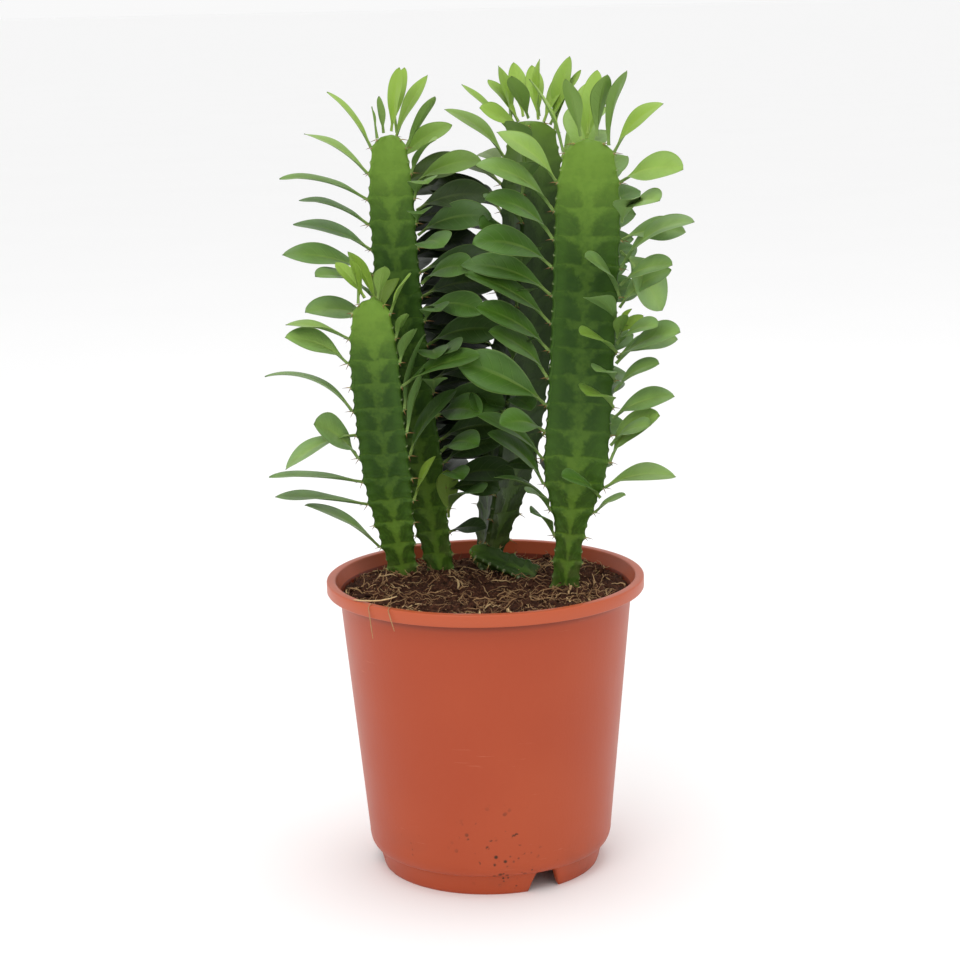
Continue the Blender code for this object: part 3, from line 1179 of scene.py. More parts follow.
@dataclass(frozen=True)
class StemPlan:
    """Where a stem stands and how it grows, as its CAD node does."""

    name: str
    foot: tuple[float, float, float]  # mm
    tip: tuple[float, float, float]  # mm
    bow: tuple[float, float]  # mm
    radius: float  # mm
    foot_share: float
    ribs: dict[str, float]
    spacing: float  # mm
    neck: float = 10.0  # mm, from the foot to where it starts to widen
    first: float = 5.0  # mm, from the tip to the first areole
    tooth: float = 1.3  # mm
    shoulder: float = 11.0  # mm
    swell: float = 85.0  # mm
    taper: float = 0.22
    taper_length: float = 36.0  # mm

    def length(self) -> float:
        """From foot to tip, in metres."""
        return (Vector(self.tip) - Vector(self.foot)).length * MM

    def axis(self, t: float) -> Vector:
        """The middle at t, from 0 at the foot to 1 at the tip."""
        straight = Vector(self.foot).lerp(Vector(self.tip), t)
        return (straight + Vector((*self.bow, 0)) * 4 * t * (1 - t)) * MM

    def outward(self, t: float, heading: float) -> Vector:
        """A direction across the stem.

        Args:
            t: Where along it.
            heading: Degrees from its right-hand side, anticlockwise from above.

        Returns:
            The unit direction.
        """
        along = (self.axis(t + 0.01) - self.axis(t - 0.01)).normalized()
        right = Vector((0, 1, 0)).cross(along).normalized()
        back = along.cross(right)
        angle = math.radians(heading)
        return right * math.cos(angle) + back * math.sin(angle)

    def areole_t(self, number: float) -> float:
        """Where an areole sits; number 0 is the one nearest the tip."""
        return 1 - (self.first + number * self.spacing) * MM / self.length()

    def areole_number(self, t: float) -> float:
        """The place at t counted in areoles, from 0 at the one nearest the tip."""
        return ((1 - t) * self.length() / MM - self.first) / self.spacing

    def rib_radius(self, t: float) -> float:
        """How far a rib's edge is from the axis, between its teeth.

        Args:
            t: Where along the stem.

        Returns:
            The distance in metres.
        """
        above = smooth(self.neck, self.swell, t * self.length() / MM)
        body = self.foot_share + (1 - self.foot_share) * above
        below = max((1 - t) * self.length() / MM, 0.0)
        taper = 1 - self.taper * (1 - smooth(0, self.taper_length, below))
        cap = math.sqrt(max(0.0, 1 - (1 - min(below / self.shoulder, 1)) ** 2))
        return self.radius * MM * body * taper * (0.25 + 0.75 * cap)

    def areoles(self, lowest: float) -> int:
        """How many areoles a rib has above a height.

        Args:
            lowest: The height in metres.

        Returns:
            Their number.
        """
        count = 0
        while self.areole_t(count) > 0.05 and self.axis(self.areole_t(count)).z > lowest:
            count += 1
        return count


@dataclass
class RibbedStem:
    """One stem's skin: three crested ribs with a tooth at each areole, and hollow faces."""

    plan: StemPlan
    step_length: float = 1.1 * MM
    crest: int = 7  # points round each rib's edge
    face: int = 21  # points across each face
    face_depth: float = 0.44
    nub: float = 1.2  # mm, how far it stands out
    nub_width: float = 1.4  # mm
    scar: float = 0.9  # mm, the lesser nub above each areole
    scar_width: float = 1.1  # mm
    scar_place: float = 0.62  # of the way to the next areole down
    swell: float = 0.7  # mm
    dip: float = 0.4  # mm
    crest_turn: float = 78.0  # degrees
    crest_radius: float = 1.35 * MM
    arm_relief: float = 0.28 * MM
    buried: float = 0.06  # the share of its length in the soil
    step_start: float = 40.0  # added to the count of areoles, to keep it above 0

    def tooth_shape(self, number: float) -> tuple[float, float]:
        """How a rib's edge stands out.

        Args:
            number: The place along the rib, in areoles from the tip.

        Returns:
            How far out in metres, and how much of it is the nub itself, from 0 to 1.
        """
        away = number - round(number)
        past_scar = (number - self.scar_place + 0.5) % 1.0 - 0.5
        nub = math.exp(-((away - 0.06) * self.plan.spacing / self.nub_width) ** 2)
        scar = math.exp(-(past_scar * self.plan.spacing / self.scar_width) ** 2)
        swell = (0.5 + 0.5 * math.cos(math.tau * away)) ** 2
        out = self.nub * nub + self.scar * scar + self.swell * swell - self.dip
        return out * MM, max(nub, 0.9 * scar)

    def section(self, t: float) -> tuple[list, list, list]:
        """One ring of points.

        Args:
            t: Where along the stem.

        Returns:
            The points, each one's place across its face from -1 to 1, and its share of nub.
        """
        plan = self.plan
        number = plan.areole_number(t)
        out, nub = self.tooth_shape(number)
        radius = plan.rib_radius(t)
        bare = smooth(-0.8, -0.1, number)
        edge = radius + out * bare * min(radius / (8 * MM), 1)
        crest = min(self.crest_radius + 0.35 * MM * nub, radius * 0.3)
        middle = plan.axis(t)

        def on_crest(rib: Vector, side: Vector, turn: float) -> Vector:
            """A point on a rib's rounded edge, from the axis."""
            return rib * (edge - crest + crest * math.cos(turn)) + side * crest * math.sin(turn)

        headings = sorted(plan.ribs.values())
        points, across, nubs = [], [], []
        for index, heading in enumerate(headings):
            rib = plan.outward(t, heading)
            side = plan.outward(t, heading + 90)
            for i in range(self.crest):
                turn = math.radians(self.crest_turn * (2 * i / (self.crest - 1) - 1))
                points.append(middle + on_crest(rib, side, turn))
                across.append(-1.0 if i < self.crest / 2 else 1.0)
                nubs.append(nub * bare * max(math.cos(turn), 0))
            following = headings[(index + 1) % 3] + (360 if index == 2 else 0)
            ahead = plan.outward(t, following)
            ahead_side = plan.outward(t, following - 90)
            bend = math.radians(self.crest_turn)
            start, end = on_crest(rib, side, bend), on_crest(ahead, ahead_side, bend)
            hollow = plan.outward(t, (heading + following) / 2)
            pull = hollow * (2 * radius * self.face_depth) - (start + end) / 2
            for i in range(1, self.face + 1):
                u = i / (self.face + 1)
                u = 0.5 - 0.5 * math.cos(math.pi * u) * (0.55 + 0.45 * abs(math.cos(math.pi * u)))
                bow = start * (1 - u) ** 2 + pull * 2 * u * (1 - u) + end * u * u
                arm = math.cos(math.tau * (number - 0.5 * (1 - abs(2 * u - 1))))
                relief = self.arm_relief * arm * smooth(0.0, 0.3, u * (1 - u)) * bare
                points.append(middle + bow + hollow * relief)
                across.append(2 * u - 1)
                nubs.append(0.0)
        return points, across, nubs

    def build(self, skin: bpy.types.Material) -> bpy.types.Object:
        """Makes the stem.

        Args:
            skin: Its finish.

        Returns:
            The stem's object, riding in place of its CAD node.
        """
        plan = self.plan
        sheet = Sheet()
        count = int(plan.length() / self.step_length)
        stops = [i / count for i in range(count)]
        stops += [1 - 0.5 * self.step_length / plan.length(), 1.0]
        columns = 3 * (self.crest + self.face)
        for t in stops:
            points, across, nubs = self.section(t)
            step = self.step_start + plan.areole_number(t)
            climb = (t - self.buried) / (1 - self.buried)
            sheet.add(points, [], face=across, tooth=nubs, step=step, climb=climb)
        sheet.faces.extend(bridge(len(stops), columns, True))
        sheet.faces.append(tuple(reversed(range(columns))))
        tip = plan.axis(1.0) + (plan.axis(1.0) - plan.axis(0.99)).normalized() * 0.4 * MM
        last = len(sheet.points) - columns
        sheet.add([tip], [], face=0.0, tooth=0.0, step=self.step_start - 1, climb=1.0)
        for i in range(columns):
            sheet.faces.append((len(sheet.points) - 1, last + i, last + (i + 1) % columns))
        stem = sheet.build(f"{plan.name}_skin", skin)
        place_piece(stem, "stem_green", plan.name)
        return stem


@dataclass
class SpineSet:
    """A pair of spines at every areole of one stem."""

    plan: StemPlan
    lowest: float
    seed: int
    length: tuple[float, float] = (3.0 * MM, 5.4 * MM)
    thick: float = 0.28 * MM
    sink: float = 0.2  # mm
    rows: int = 6

    def spine(self, sheet: Sheet, root: Vector, way: Vector, length: float) -> None:
        """Adds one spine.

        Args:
            sheet: The mesh that it joins.
            root: Where it starts.
            way: Its direction.
            length: Its length in metres.
        """
        side = way.cross(Vector((0.1, 0.2, 1))).normalized()
        up = side.cross(way)
        around = circle(7)
        points, along = [], []
        for i in range(self.rows):
            share = i / (self.rows - 1)
            droop = Vector((0, 0, 1)) * length * 0.12 * share * share
            middle = root + way * length * share - droop
            size = self.thick * (1 - share) ** 0.8 + 0.03 * MM
            points += [middle + (side * u + up * v) * size for u, v in around]
            along += [share] * len(around)
        sheet.add(points, capped(self.rows, len(around)), along=along)

    def build(self, horn: bpy.types.Material) -> bpy.types.Object:
        """Makes the spines.

        Args:
            horn: Their finish.

        Returns:
            The object that holds them all.
        """
        draw = random.Random(self.seed)
        plan = self.plan
        sheet = Sheet()
        for heading in plan.ribs.values():
            for number in range(-1, plan.areoles(self.lowest)):
                t = min(plan.areole_t(max(number, -0.3)), 0.998)
                rib = plan.outward(t, heading)
                side = plan.outward(t, heading + 90)
                along = (plan.axis(min(t + 0.01, 1)) - plan.axis(t - 0.01)).normalized()
                root = plan.axis(t) + rib * (plan.rib_radius(t) + (plan.tooth - self.sink) * MM)
                length = draw.uniform(*self.length)
                for sign in (-1, 1):
                    spread = math.radians(draw.uniform(34, 50)) * sign
                    way = rib * math.cos(spread) + side * math.sin(spread)
                    way = (way - along * draw.uniform(0.0, 0.25)).normalized()
                    start = root + side * sign * 0.5 * MM - along * 0.6 * MM
                    self.spine(sheet, start, way, length * draw.uniform(0.85, 1.1))
        spines = sheet.build(f"{plan.name}_spines", horn)
        place_piece(spines, "stem_green")
        return spines


# ---------------------------------------------------------------- leaves


@dataclass(frozen=True)
class LeafPlan:
    """Where one leaf grows and how it points."""

    areole: float
    turn: float  # degrees from the rib's heading
    rise: float  # degrees from base to point
    length: float  # mm
    width: float  # mm
    arch: float = 40.0  # degrees
    roll: float = 25.0  # degrees, how far its upper face turns to the front
    youth: float | None = None  # 1 for a new leaf; None reads it from the areole


@dataclass
class LeafBlade:
    """One leaf: an obovate blade, folded along its midrib and arched along its length."""

    stem: StemPlan
    rib: str
    plan: LeafPlan
    tone: float
    rows: int = 26
    half_columns: int = 6
    thickness: float = 0.55 * MM
    standoff: float = 0.2 * MM
    fold: float = 24.0  # degrees at the stalk
    unfold: float = 15.0  # degrees less at the point
    ripple: float = 0.35 * MM
    keel: float = 0.5 * MM

    def half_width(self, s: float) -> float:
        """Half the blade's width.

        Args:
            s: Where along it, from 0 at the stalk to 1 at the point.

        Returns:
            The half width in metres.
        """
        body = math.sin(math.pi * s ** 1.5) ** (0.94 - 0.2 * s) if 0 < s < 1 else 0.0
        half = self.plan.width * MM / 2 * body
        mucro = 0.5 * MM * smooth(1.0, 0.93, s)
        return max(half, 0.9 * MM * (1 - s) if s < 0.5 else mucro, 0.02 * MM)

    def shade(self, tip: Vector) -> float:
        """How pale the leaf is painted, as painted shade and light: dark deep among the stems and
        at the back, paler at the front, the sides and the crown.

        Args:
            tip: Its point.

        Returns:
            From 0 for the darkest to 1.
        """
        front = smooth(0.03, -0.014, tip.y)
        side = smooth(0.03, 0.085, abs(tip.x))
        crown = 0.65 * smooth(0.365, 0.41, tip.z)
        varied = 0.16 * self.tone * (front + side)
        return min(0.02 + 0.4 * front + 0.46 * side + crown + varied, 1.0)

    def midrib(self) -> list[tuple[float, Vector, Vector, Vector]]:
        """Walks along the midrib.

        Returns:
            At each row: s, the point, the direction across and the upward one.
        """
        t = self.stem.areole_t(self.plan.areole)
        rib = self.stem.outward(t, self.stem.ribs[self.rib])
        reach = self.stem.rib_radius(t) + self.stem.tooth * MM - self.standoff
        point = self.stem.axis(t) + rib * reach
        heading = math.atan2(rib.y, rib.x) + math.radians(self.plan.turn)
        level = Vector((-math.sin(heading), math.cos(heading), 0))
        forward = Vector((math.cos(heading), math.sin(heading), 0))
        found, before = [], 0.0
        for i in range(self.rows + 1):
            s = i / self.rows
            bend = self.plan.arch * (0.5 - (s + before) / 2)
            pitch = math.radians(self.plan.rise + bend)
            along = forward * math.cos(pitch) + Vector((0, 0, math.sin(pitch)))
            point = point + along * (s - before) * self.plan.length * MM
            twist = self.plan.roll * level.y * smooth(0.0, 0.35, s)
            twist += 4 * math.sin(self.tone * 40 + 4 * s)
            side = Matrix.Rotation(math.radians(twist), 3, along) @ level
            found.append((s, point, side, along.cross(side)))
            before = s
        return found

    def add_to(self, sheet: Sheet) -> None:
        """Adds the leaf's upper and lower faces, joined round its edge.

        Args:
            sheet: The mesh that it joins.
        """
        columns = [i / self.half_columns for i in range(-self.half_columns, self.half_columns + 1)]
        youth = self.plan.youth
        if youth is None:
            youth = 0.9 * smooth(3.0, -0.8, self.plan.areole)
        upper, lower, marks = [], [], []
        spine = self.midrib()
        for s, point, side, up in spine:
            half = self.half_width(s)
            fold = math.radians(self.fold - self.unfold * s)
            for c in columns:
                reach = abs(c) ** 0.85 * half * (1 if c > 0 else -1)
                ripple = self.ripple * math.sin(9 * s + 5 * self.tone + c) * abs(c)
                lift = abs(reach) * math.tan(fold) * (1 - 0.35 * abs(c))
                lift += ripple * smooth(0.1, 0.4, s)
                top = point + side * reach * math.cos(fold) + up * lift
                thick = self.thickness * (1 - 0.75 * abs(c) ** 3) * (0.6 + 0.9 * (1 - s) ** 2)
                keel = self.keel * max(0, 1 - abs(c) * 4) * (1 - s)
                upper.append(top)
                lower.append(top - up * (thick + keel))
                marks.append((c, s))
        count = len(columns)
        total = len(upper)
        faces = [tuple(reversed(face)) for face in bridge(self.rows + 1, count, False)]
        below = [tuple(total + i for i in reversed(face)) for face in faces]
        rim = []
        last = self.rows * count
        for row in range(self.rows):
            a, b = row * count, (row + 1) * count
            rim.append((a, b, total + b, total + a))
            c, d = a + count - 1, b + count - 1
            rim.append((d, c, total + c, total + d))
        for i in range(count - 1):
            rim.append((i + 1, i, total + i, total + i + 1))
            rim.append((last + i, last + i + 1, total + last + i + 1, total + last + i))
        sheet.add(
            upper + lower,
            faces + below + rim,
            across=[c for c, _ in marks] * 2,
            along=[s for _, s in marks] * 2,
            under=[0.0] * total + [1.0] * total,
            # The tone mark carries the leaf's painted shade and light, set by where its point is.
            tone=self.shade(spine[-1][1]),
            youth=youth,
        )


@dataclass
class Foliage:
    """All the leaves of one stem: the placed ones, and one at every other areole."""

    stem: StemPlan
    placed: dict[str, tuple]
    bare: dict[str, tuple]
    lowest: float
    seed: int

    def natural(self, rib: str, number: int, draw: random.Random) -> LeafPlan:
        """A leaf by the plant's own habit: erect at the tip, level lower down.

        Args:
            rib: Its rib.
            number: Its areole.
            draw: The source of chance.

        Returns:
            The leaf's plan.
        """
        rise = 18 + 48 * math.exp(-number / 1.6) + draw.uniform(-9, 9)
        length = min(34 + 4 * number, 44) + draw.uniform(-5, 4)
        width = min(13 + 2.6 * number, 20.5) + draw.uniform(-1.5, 1.5)
        turn, arch, roll = draw.uniform(-26, 26), draw.uniform(30, 55), draw.uniform(15, 60)
        return LeafPlan(number, turn, rise, length, width, arch, roll)

    def build(self, skin: bpy.types.Material) -> None:
        """Makes the leaves. A leaf with a CAD node is its own piece; the rest join by rib.

        Args:
            skin: Their finish.
        """
        draw = random.Random(self.seed)
        short = self.stem.name.removeprefix("stem_")
        for rib in self.stem.ribs:
            rest = Sheet()
            placed = {row[0]: LeafPlan(*row) for row in self.placed.get(rib, ())}
            gone = self.bare.get(rib, ())
            plans = [placed[n] for n in sorted(placed)]
            for number in range(self.stem.areoles(self.lowest)):
                leaf = self.natural(rib, number, draw)
                if number not in placed and number not in gone:
                    plans.append(leaf)
            for plan in plans:
                blade = LeafBlade(self.stem, rib, plan, draw.random())
                node = f"leaf_{short}_{rib}_{int(max(plan.areole, 0)):02d}"
                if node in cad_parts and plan.areole == int(plan.areole):
                    own = Sheet()
                    blade.add_to(own)
                    place_piece(own.build(f"{node}_blade", skin), "leaf_green", node)
                else:
                    blade.add_to(rest)
            if rest.points:
                place_piece(rest.build(f"leaves_{short}_{rib}", skin), "leaf_green")


# ---------------------------------------------------------------- the plant's own layout

STEMS = (
    StemPlan("stem_front_left", (-42.0, 36.0, 137.0), (-55.8, -5.0, 309.0), (-3.0, 0.0), 14.8, 0.55,
             {"west": 204.0, "east": 324.0, "north": 84.0}, 13.6),
    StemPlan("stem_tall_left", (-21.5, 46.0, 137.0), (-44.8, 22.0, 392.0), (-5.4, 0.0), 13.8, 0.6,
             {"west": 202.0, "east": 322.0, "north": 82.0}, 13.4),
    StemPlan("stem_back", (-3.0, 58.0, 137.0), (29.0, 35.0, 397.0), (7.5, -1.5), 18.6, 0.45,
             {"west": 138.0, "south": 258.0, "east": 18.0}, 15.2),
    StemPlan("stem_right", (41.8, 13.0, 137.0), (57.6, -12.0, 389.5), (2.6, 0.0), 19.3, 0.43,
             {"west": 210.0, "east": 330.0, "north": 90.0}, 14.8, neck=36.0),
    StemPlan("shoot_low", (27.0, 28.0, 149.0), (-8.0, 40.0, 163.0), (0.0, 0.0), 8.2, 0.9,
             {"upper": 20.0, "front": 260.0, "lower": 140.0}, 9.0, neck=0.0),
)

# Each rib's placed leaves: areole, turn, rise, length, width, arch, roll and, for some, youth. An
# areole below 0 is in the crown, and one that isn't whole is a leaf beside another.
PLACED = {
    "stem_tall_left": {
        "west": (
            (-0.5, 50, 75, 20, 5, 10, 20), (-0.3, 10, 80, 17, 4, 10, 20),
            (0, -28, 52, 37, 12, 25, 5), (1, -30, 32, 40, 15, 32, 5),
            (2, -20, 14, 48, 17, 38, 8), (3, -30, 19, 40, 16, 37, 3),
            (4, -35, 17, 45, 19, 32, 10), (5, -12, 14, 50, 20, 32, 26),
        ),
        "east": (
            (-0.5, 40, 85, 34, 12, 20, 40), (0, -5, 50, 34, 10, 8, 0),
            (1, -27, 30, 36, 14, 37, 70), (2, -40, 14, 42, 16, 50, 75),
            (3, -45, 12, 36, 14, 44, 70), (4, -32, 5, 42, 20, 36, 75),
            (1.5, 25, 18, 40, 15, 45, 50), (2.5, 40, 8, 42, 17, 45, 60),
            (3.5, 20, 12, 44, 18, 50, 60), (5, 25, 4, 45, 18, 45, 60),
            (5.5, -10, 14, 44, 18, 50, 60), (6, 35, 8, 44, 19, 40, 60),
            (6.5, 0, 0, 42, 17, 40, 60), (8, 20, 10, 45, 19, 45, 60),
            (8.5, -45, 6, 40, 17, 45, 60), (9.5, 30, 8, 45, 19, 45, 60),
            (10.5, 10, 2, 44, 18, 45, 60), (12, 20, 10, 42, 18, 45, 60),
            (7, -38, 14, 42, 16, 39, 75), (9, -28, 21, 42, 20, 46, 75),
            (10, -50, 18, 42, 15, 27, 60), (11, -17, 8, 43, 20, 39, 75),
            (12.5, -20, 12, 40, 17, 45, 60), (13, 15, 20, 38, 16, 40, 60),
            (13.6, -35, 8, 36, 15, 40, 60), (14.2, 10, 4, 34, 14, 40, 60),
            (15.4, -52, 73, 30, 13, 20, 40, 0.8), (16, 0, 10, 26, 12, 30, 45),
        ),
        "north": (
            (-0.5, -23, 66, 36, 11, 20, 8), (0, -42, 55, 42, 11, 20, 9),
            (1, -72, 34, 38, 15, 40, 40), (2, -80, 20, 42, 17, 45, 50),
            (2.5, -55, 12, 42, 17, 45, 50), (3, 15, 35, 42, 18, 40, 20),
            (3.5, -78, 8, 44, 19, 45, 50), (4, -66, 16, 44, 19, 45, 50),
            (4.5, -84, 4, 44, 19, 45, 50), (5, -72, 10, 46, 20, 45, 50),
            (6, -10, 25, 38, 18, 40, 20), (6.5, -76, 6, 46, 20, 45, 50),
            (7, -60, 12, 46, 20, 45, 50), (8, -80, 4, 44, 20, 45, 50),
            (9, -68, 8, 46, 20, 45, 50), (10, 5, 20, 34, 16, 40, 20),
            (10.5, -74, 4, 46, 20, 45, 50), (11, -60, 10, 46, 20, 45, 50),
            (12, -70, 6, 44, 18, 45, 50), (12.6, -84, 8, 42, 17, 45, 50),
            (13.4, -66, 4, 40, 16, 45, 50),
        ),
    },
    "stem_front_left": {
        "west": (
            (-0.5, -60, 42, 26, 9, 20, 30), (-0.3, -8, 80, 24, 12, 30, 30),
            (1, -17, 14, 34, 17, 30, 5), (2, -4, 25, 38, 19, 42, 38),
            (4, -23, 23, 53, 16, 70, 0), (5, 2, -20, 44, 17, 42, 10),
            (6, 17, 38, 37, 22, 36, 70), (7, -17, 5, 50, 18, 14, 0), (8, -17, 7, 50, 18, 8, 6),
            (10, -2, 33, 51, 19, 29, 17),
        ),
        "east": (
            (-0.5, -40, 45, 26, 9, 10, 12), (0, 20, 60, 24, 11, 20, 20),
            (1, -20, 50, 18, 8, 30, 10), (2, -32, 42, 30, 12, 28, 60),
            (4, 9, 72, 42, 12, 23, 10), (5, -10, 68, 40, 11, 14, 22),
            (6, 44, 52, 44, 18, 38, 17), (8, 20, 62, 28, 10, 20, 30, 0.8),
        ),
        "north": ((0, 75, 60, 30, 12, 20, 10),),
    },
    "stem_right": {
        "west": (
            (-0.5, 33, 60, 34, 10, 19, 0), (0, -25, 65, 41, 12, 26, 12),
            (1, -33, 40, 40, 19, 33, 26), (2, -11, 30, 50, 20, 54, 32),
            (3, -1, 29, 47, 20, 56, 42), (4, -11, 18, 47, 22, 54, 43),
            (5, -38, 18, 51, 20, 46, 33), (6, -23, 31, 52, 20, 35, 28),
            (7, -18, 32, 46, 20, 35, 35), (8, -13, 39, 42, 20, 45, 39),
            (9, -28, 27, 53, 24, 27, 60), (10, 22, 13, 40, 16, 40, 70),
            (11, -17, 35, 44, 19, 35, 23), (12, -17, 44, 43, 19, 42, 29),
            (12.6, -29, 24, 32, 12, 47, 0), (13, 37, 26, 36, 13, 37, 70),
            (14, 33, 33, 34, 13, 41, 65),
        ),
        "east": (
            (-0.5, -30, 72, 33, 13, 29, 12), (-0.2, -6, 73, 40, 13, 35, 0),
            (0, 15, 43, 36, 16, 39, 31), (1, -18, 10, 45, 19, 35, 75),
            (2, -37, 11, 42, 17, 25, 75), (3, 30, 5, 34, 15, 40, 50),
            (3.4, 50, -55, 40, 26, 20, 70), (4, 3, 31, 50, 21, 60, 32),
            (5, -100, 38, 38, 16, 55, 70), (6, -89, 26, 42, 14, 49, -15),
            (7, -90, 20, 43, 16, 25, 50, 0.55), (6.3, 5, 58, 15, 7, 20, 40, 1.0),
            (6.4, 40, 34, 17, 8, 20, 40, 0.9), (6.5, -45, 50, 18, 9, 20, 40, 1.0),
            (7.4, -10, 25, 46, 22, 40, 45), (8, -77, 15, 40, 14, 26, 70),
            (9, -82, 17, 46, 20, 37, 45, 0.45), (11, 1, 42, 41, 20, 54, 49, 0.3),
            (12, 35, 6, 40, 20, 45, 21, 0.3), (2.4, -55, 25, 34, 15, 40, 50, 0.1),
            (4.6, -10, 20, 36, 17, 40, 50), (5.4, 25, 35, 34, 15, 40, 40),
            (6.7, -25, 20, 36, 16, 40, 50), (7.2, 30, 15, 34, 15, 40, 40),
            (8.4, -10, 30, 34, 15, 40, 50), (9.4, 15, 20, 36, 16, 40, 40),
            (10.4, -20, 25, 34, 15, 40, 50), (12.4, -103, 28, 36, 14, 33, 54),
            (13, 0, 30, 22, 10, 28, 20),
        ),
        "north": (
            (-0.5, -30, 70, 34, 11, 20, 10), (1, 10, 50, 44, 18, 40, 20),
            (4, -28, 35, 46, 20, 40, 20), (2, -50, 34, 38, 17, 40, 30),
            (3, -62, 26, 40, 19, 45, 40), (5, -58, 24, 40, 20, 50, 40),
            (5.5, -40, 10, 36, 18, 50, 40), (6, -66, 14, 38, 19, 45, 50),
            (7, -40, 30, 46, 20, 40, 20), (8, -62, 20, 38, 19, 50, 50),
            (9, -55, 8, 36, 18, 45, 40), (10, -45, 20, 42, 18, 40, 20),
            (11, -64, 12, 34, 16, 45, 50), (12, -50, 0, 30, 14, 40, 40),
        ),
    },
    "stem_back": {
        "west": (
            (-0.5, -36, 55, 34, 10, 10, 17), (-0.3, 11, 50, 29, 11, 18, 9),
            (-0.1, 22, 78, 33, 11, 22, 11), (0, 23, 42, 36, 9, 5, 7),
            (1, 30, 38, 42, 18, 39, 18), (1.4, -30, 8, 40, 13, 25, 65),
            (2, 27, 14, 43, 20, 55, 15), (2.5, 45, 8, 44, 18, 45, 30),
            (3, -15, 7, 42, 16, 48, 60), (3.5, 38, 10, 46, 19, 50, 30),
            (4, -16, 5, 44, 18, 50, 50), (4.5, 44, 6, 46, 20, 45, 30),
            (5, 28, 10, 46, 19, 45, 40), (5.5, 55, 0, 44, 19, 40, 40),
            (6.5, 40, 6, 46, 20, 45, 40), (7, 25, 4, 44, 19, 45, 40),
            (7.5, 50, 8, 46, 20, 45, 40), (8, 35, 2, 44, 19, 45, 40),
            (8.5, 55, 0, 44, 19, 45, 40), (9, 30, 6, 44, 18, 45, 40),
            (9.5, 48, -4, 42, 18, 45, 40), (10, 36, 0, 40, 17, 45, 40),
            (10.5, 52, -6, 40, 17, 45, 40), (11, 34, -4, 38, 16, 45, 40),
            (11.6, 60, -8, 36, 15, 45, 40), (12.2, 40, -4, 34, 14, 45, 40),
        ),
        "south": (
            (-0.5, -11, 45, 32, 12, 7, 17), (0, -45, 28, 32, 14, 24, 60),
            (3, -25, 25, 36, 16, 40, 30), (9.5, 35, 0, 34, 15, 45, 30),
            (11, 40, -4, 34, 14, 45, 30), (12, 60, 6, 30, 13, 45, 30),
        ),
        "east": (
            (-0.5, -16, 88, 30, 11, 12, 15), (-0.4, 79, 55, 34, 10, 18, 8),
            (-0.3, 34, 52, 34, 10, 8, 11), (-0.2, -10, 58, 33, 11, 5, 10),
            (0, 20, 74, 40, 14, 14, 10), (3, 10, 30, 44, 20, 40, 20), (7, 5, 25, 44, 20, 40, 20),
        ),
    },
}

# Areoles that have dropped their leaves.
BARE: dict[str, dict[str, tuple]] = {
    "stem_front_left": {"east": tuple(range(7, 14)), "west": (0, 3, 9, 11, 12)},
    "stem_tall_left": {"west": tuple(range(8, 20))},
    "stem_right": {"west": (13, 14, 15), "east": (10, 14, 15)},
}

# The stems that stand in the shade of the others, and a darker copy of their skin that paints that
# shade.
SHADED_STEMS = ("stem_back", "shoot_low")
SHADED_SKIN = StemSkin(
    band=linear(70, 98, 34),
    green=linear(50, 76, 22),
    dark=linear(26, 46, 12),
    shade=linear(42, 64, 20),
    nub=linear(160, 170, 134),
)

# How high each stem's lowest leaf sits, in metres.
LOWEST_LEAF = {
    "stem_front_left": 0.182,
    "stem_tall_left": 0.176,
    "stem_back": 0.225,
    "stem_right": 0.18,
}


# ---------------------------------------------------------------- floor, lights and camera


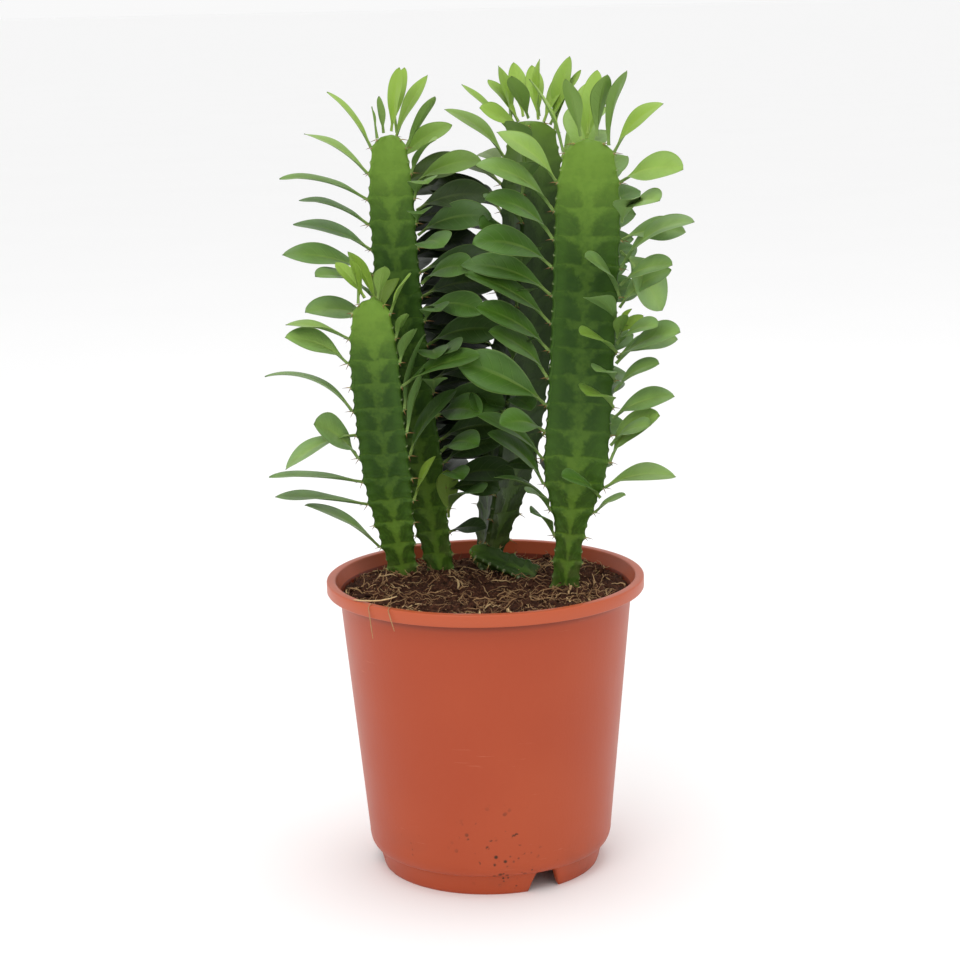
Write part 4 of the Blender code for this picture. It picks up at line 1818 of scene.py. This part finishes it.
@dataclass
class Studio:
    """A pale floor, soft lights, and the camera in front of the plant, a little above it."""

    distance: float = 1.2
    eye_height: float = 0.4575
    pitch: float = -0.2029
    yaw: float = -0.0014
    lean: float = -0.0224
    lens: float = 86.33
    floor_rings: tuple = (0.4, 1.2, 4.0, 20.0, 100.0, 500.0)
    floor_shades: tuple = (0.965, 0.985)
    sky_strength: float = 0.95

    def floor(self) -> None:
        """Lays the floor."""
        sheet, around = Sheet(), circle(64)
        for radius in self.floor_rings:
            sheet.add([(radius * x, radius * y, 0.0) for x, y in around], [])
        rows = bridge(len(self.floor_rings), len(around), True)
        sheet.faces.extend(tuple(reversed(face)) for face in rows)
        sheet.faces.append(tuple(range(len(around))))
        shader = Shader("studio_floor")
        pale = shader.blend(shader.noise(3, 2), *((share,) * 3 for share in self.floor_shades))
        sheet.build("studio_floor", shader.finish(Base_Color=pale, Roughness=0.9))

    def light(self, name: str, place: tuple, size: float, power: float) -> None:
        """Adds a square soft light aimed at the plant.

        Args:
            name: Its name.
            place: Where it hangs.
            size: Its side in metres.
            power: Its power in watts.
        """
        lamp = bpy.data.lights.new(name, "AREA")
        lamp.shape = "SQUARE"
        lamp.size = size
        lamp.energy = power
        made = bpy.data.objects.new(name, lamp)
        made.location = place
        aim = Vector((0, 0, 0.2)) - Vector(place)
        made.rotation_euler = aim.to_track_quat("-Z", "Y").to_euler()
        bpy.context.scene.collection.objects.link(made)

    def sky(self) -> None:
        """Sets the even white light all round."""
        world = bpy.data.worlds.new("studio")
        world.use_nodes = True
        background = world.node_tree.nodes["Background"]
        background.inputs["Color"].default_value = (1, 1, 1, 1)
        background.inputs["Strength"].default_value = self.sky_strength
        bpy.context.scene.world = world
        bpy.context.scene.view_settings.view_transform = "Standard"

    def camera(self) -> None:
        """Puts the camera in front, looking slightly down, with a slight lean."""
        data = bpy.data.cameras.new("front_camera")
        data.lens = self.lens
        data.sensor_width = 36.0
        data.clip_end = 2000.0
        made = bpy.data.objects.new("front_camera", data)
        turn = Matrix.Rotation(-self.yaw, 3, "Z")
        turn = turn @ Matrix.Rotation(math.pi / 2 + self.pitch, 3, "X")
        turn = turn @ Matrix.Rotation(self.lean, 3, "Z")
        made.rotation_euler = turn.to_euler()
        made.location = (0, -self.distance, self.eye_height)
        bpy.context.scene.collection.objects.link(made)
        bpy.context.scene.camera = made

    def build(self) -> None:
        """Sets up the whole studio."""
        self.floor()
        self.sky()
        self.light("key_light", (-0.5, -1.3, 1.7), 1.0, 8)
        self.light("top_light", (0.1, 0.2, 1.9), 1.2, 7)
        self.camera()


def main() -> None:
    """Builds the plant from the pot up, then the studio."""
    logging.basicConfig(level=logging.INFO, format="%(name)s: %(message)s")
    pot = NurseryPot()
    pot.build(PotPlastic().build())
    peat = PottingSoil().build()
    soil = SoilBed(pot)
    soil.build(peat)
    Litter(soil).build(DryFibre().build(), peat)
    leaf_skin, horn = LeafSkin().build(), SpineHorn().build()
    light_skin, shaded_skin = StemSkin().build("stem_skin"), SHADED_SKIN.build("shaded_stem_skin")
    lowest = soil.level + 4 * MM
    for index, plan in enumerate(STEMS):
        # Stems that stand in shade get the darker copy of the skin, as painted shade.
        RibbedStem(plan).build(shaded_skin if plan.name in SHADED_STEMS else light_skin)
        SpineSet(plan, lowest, 100 + index).build(horn)
        if plan.name in PLACED:
            placed, bare = PLACED[plan.name], BARE.get(plan.name, {})
            Foliage(plan, placed, bare, LOWEST_LEAF[plan.name], 40 + index).build(leaf_skin)
    Studio().build()


if __name__ == "__main__":
    main()
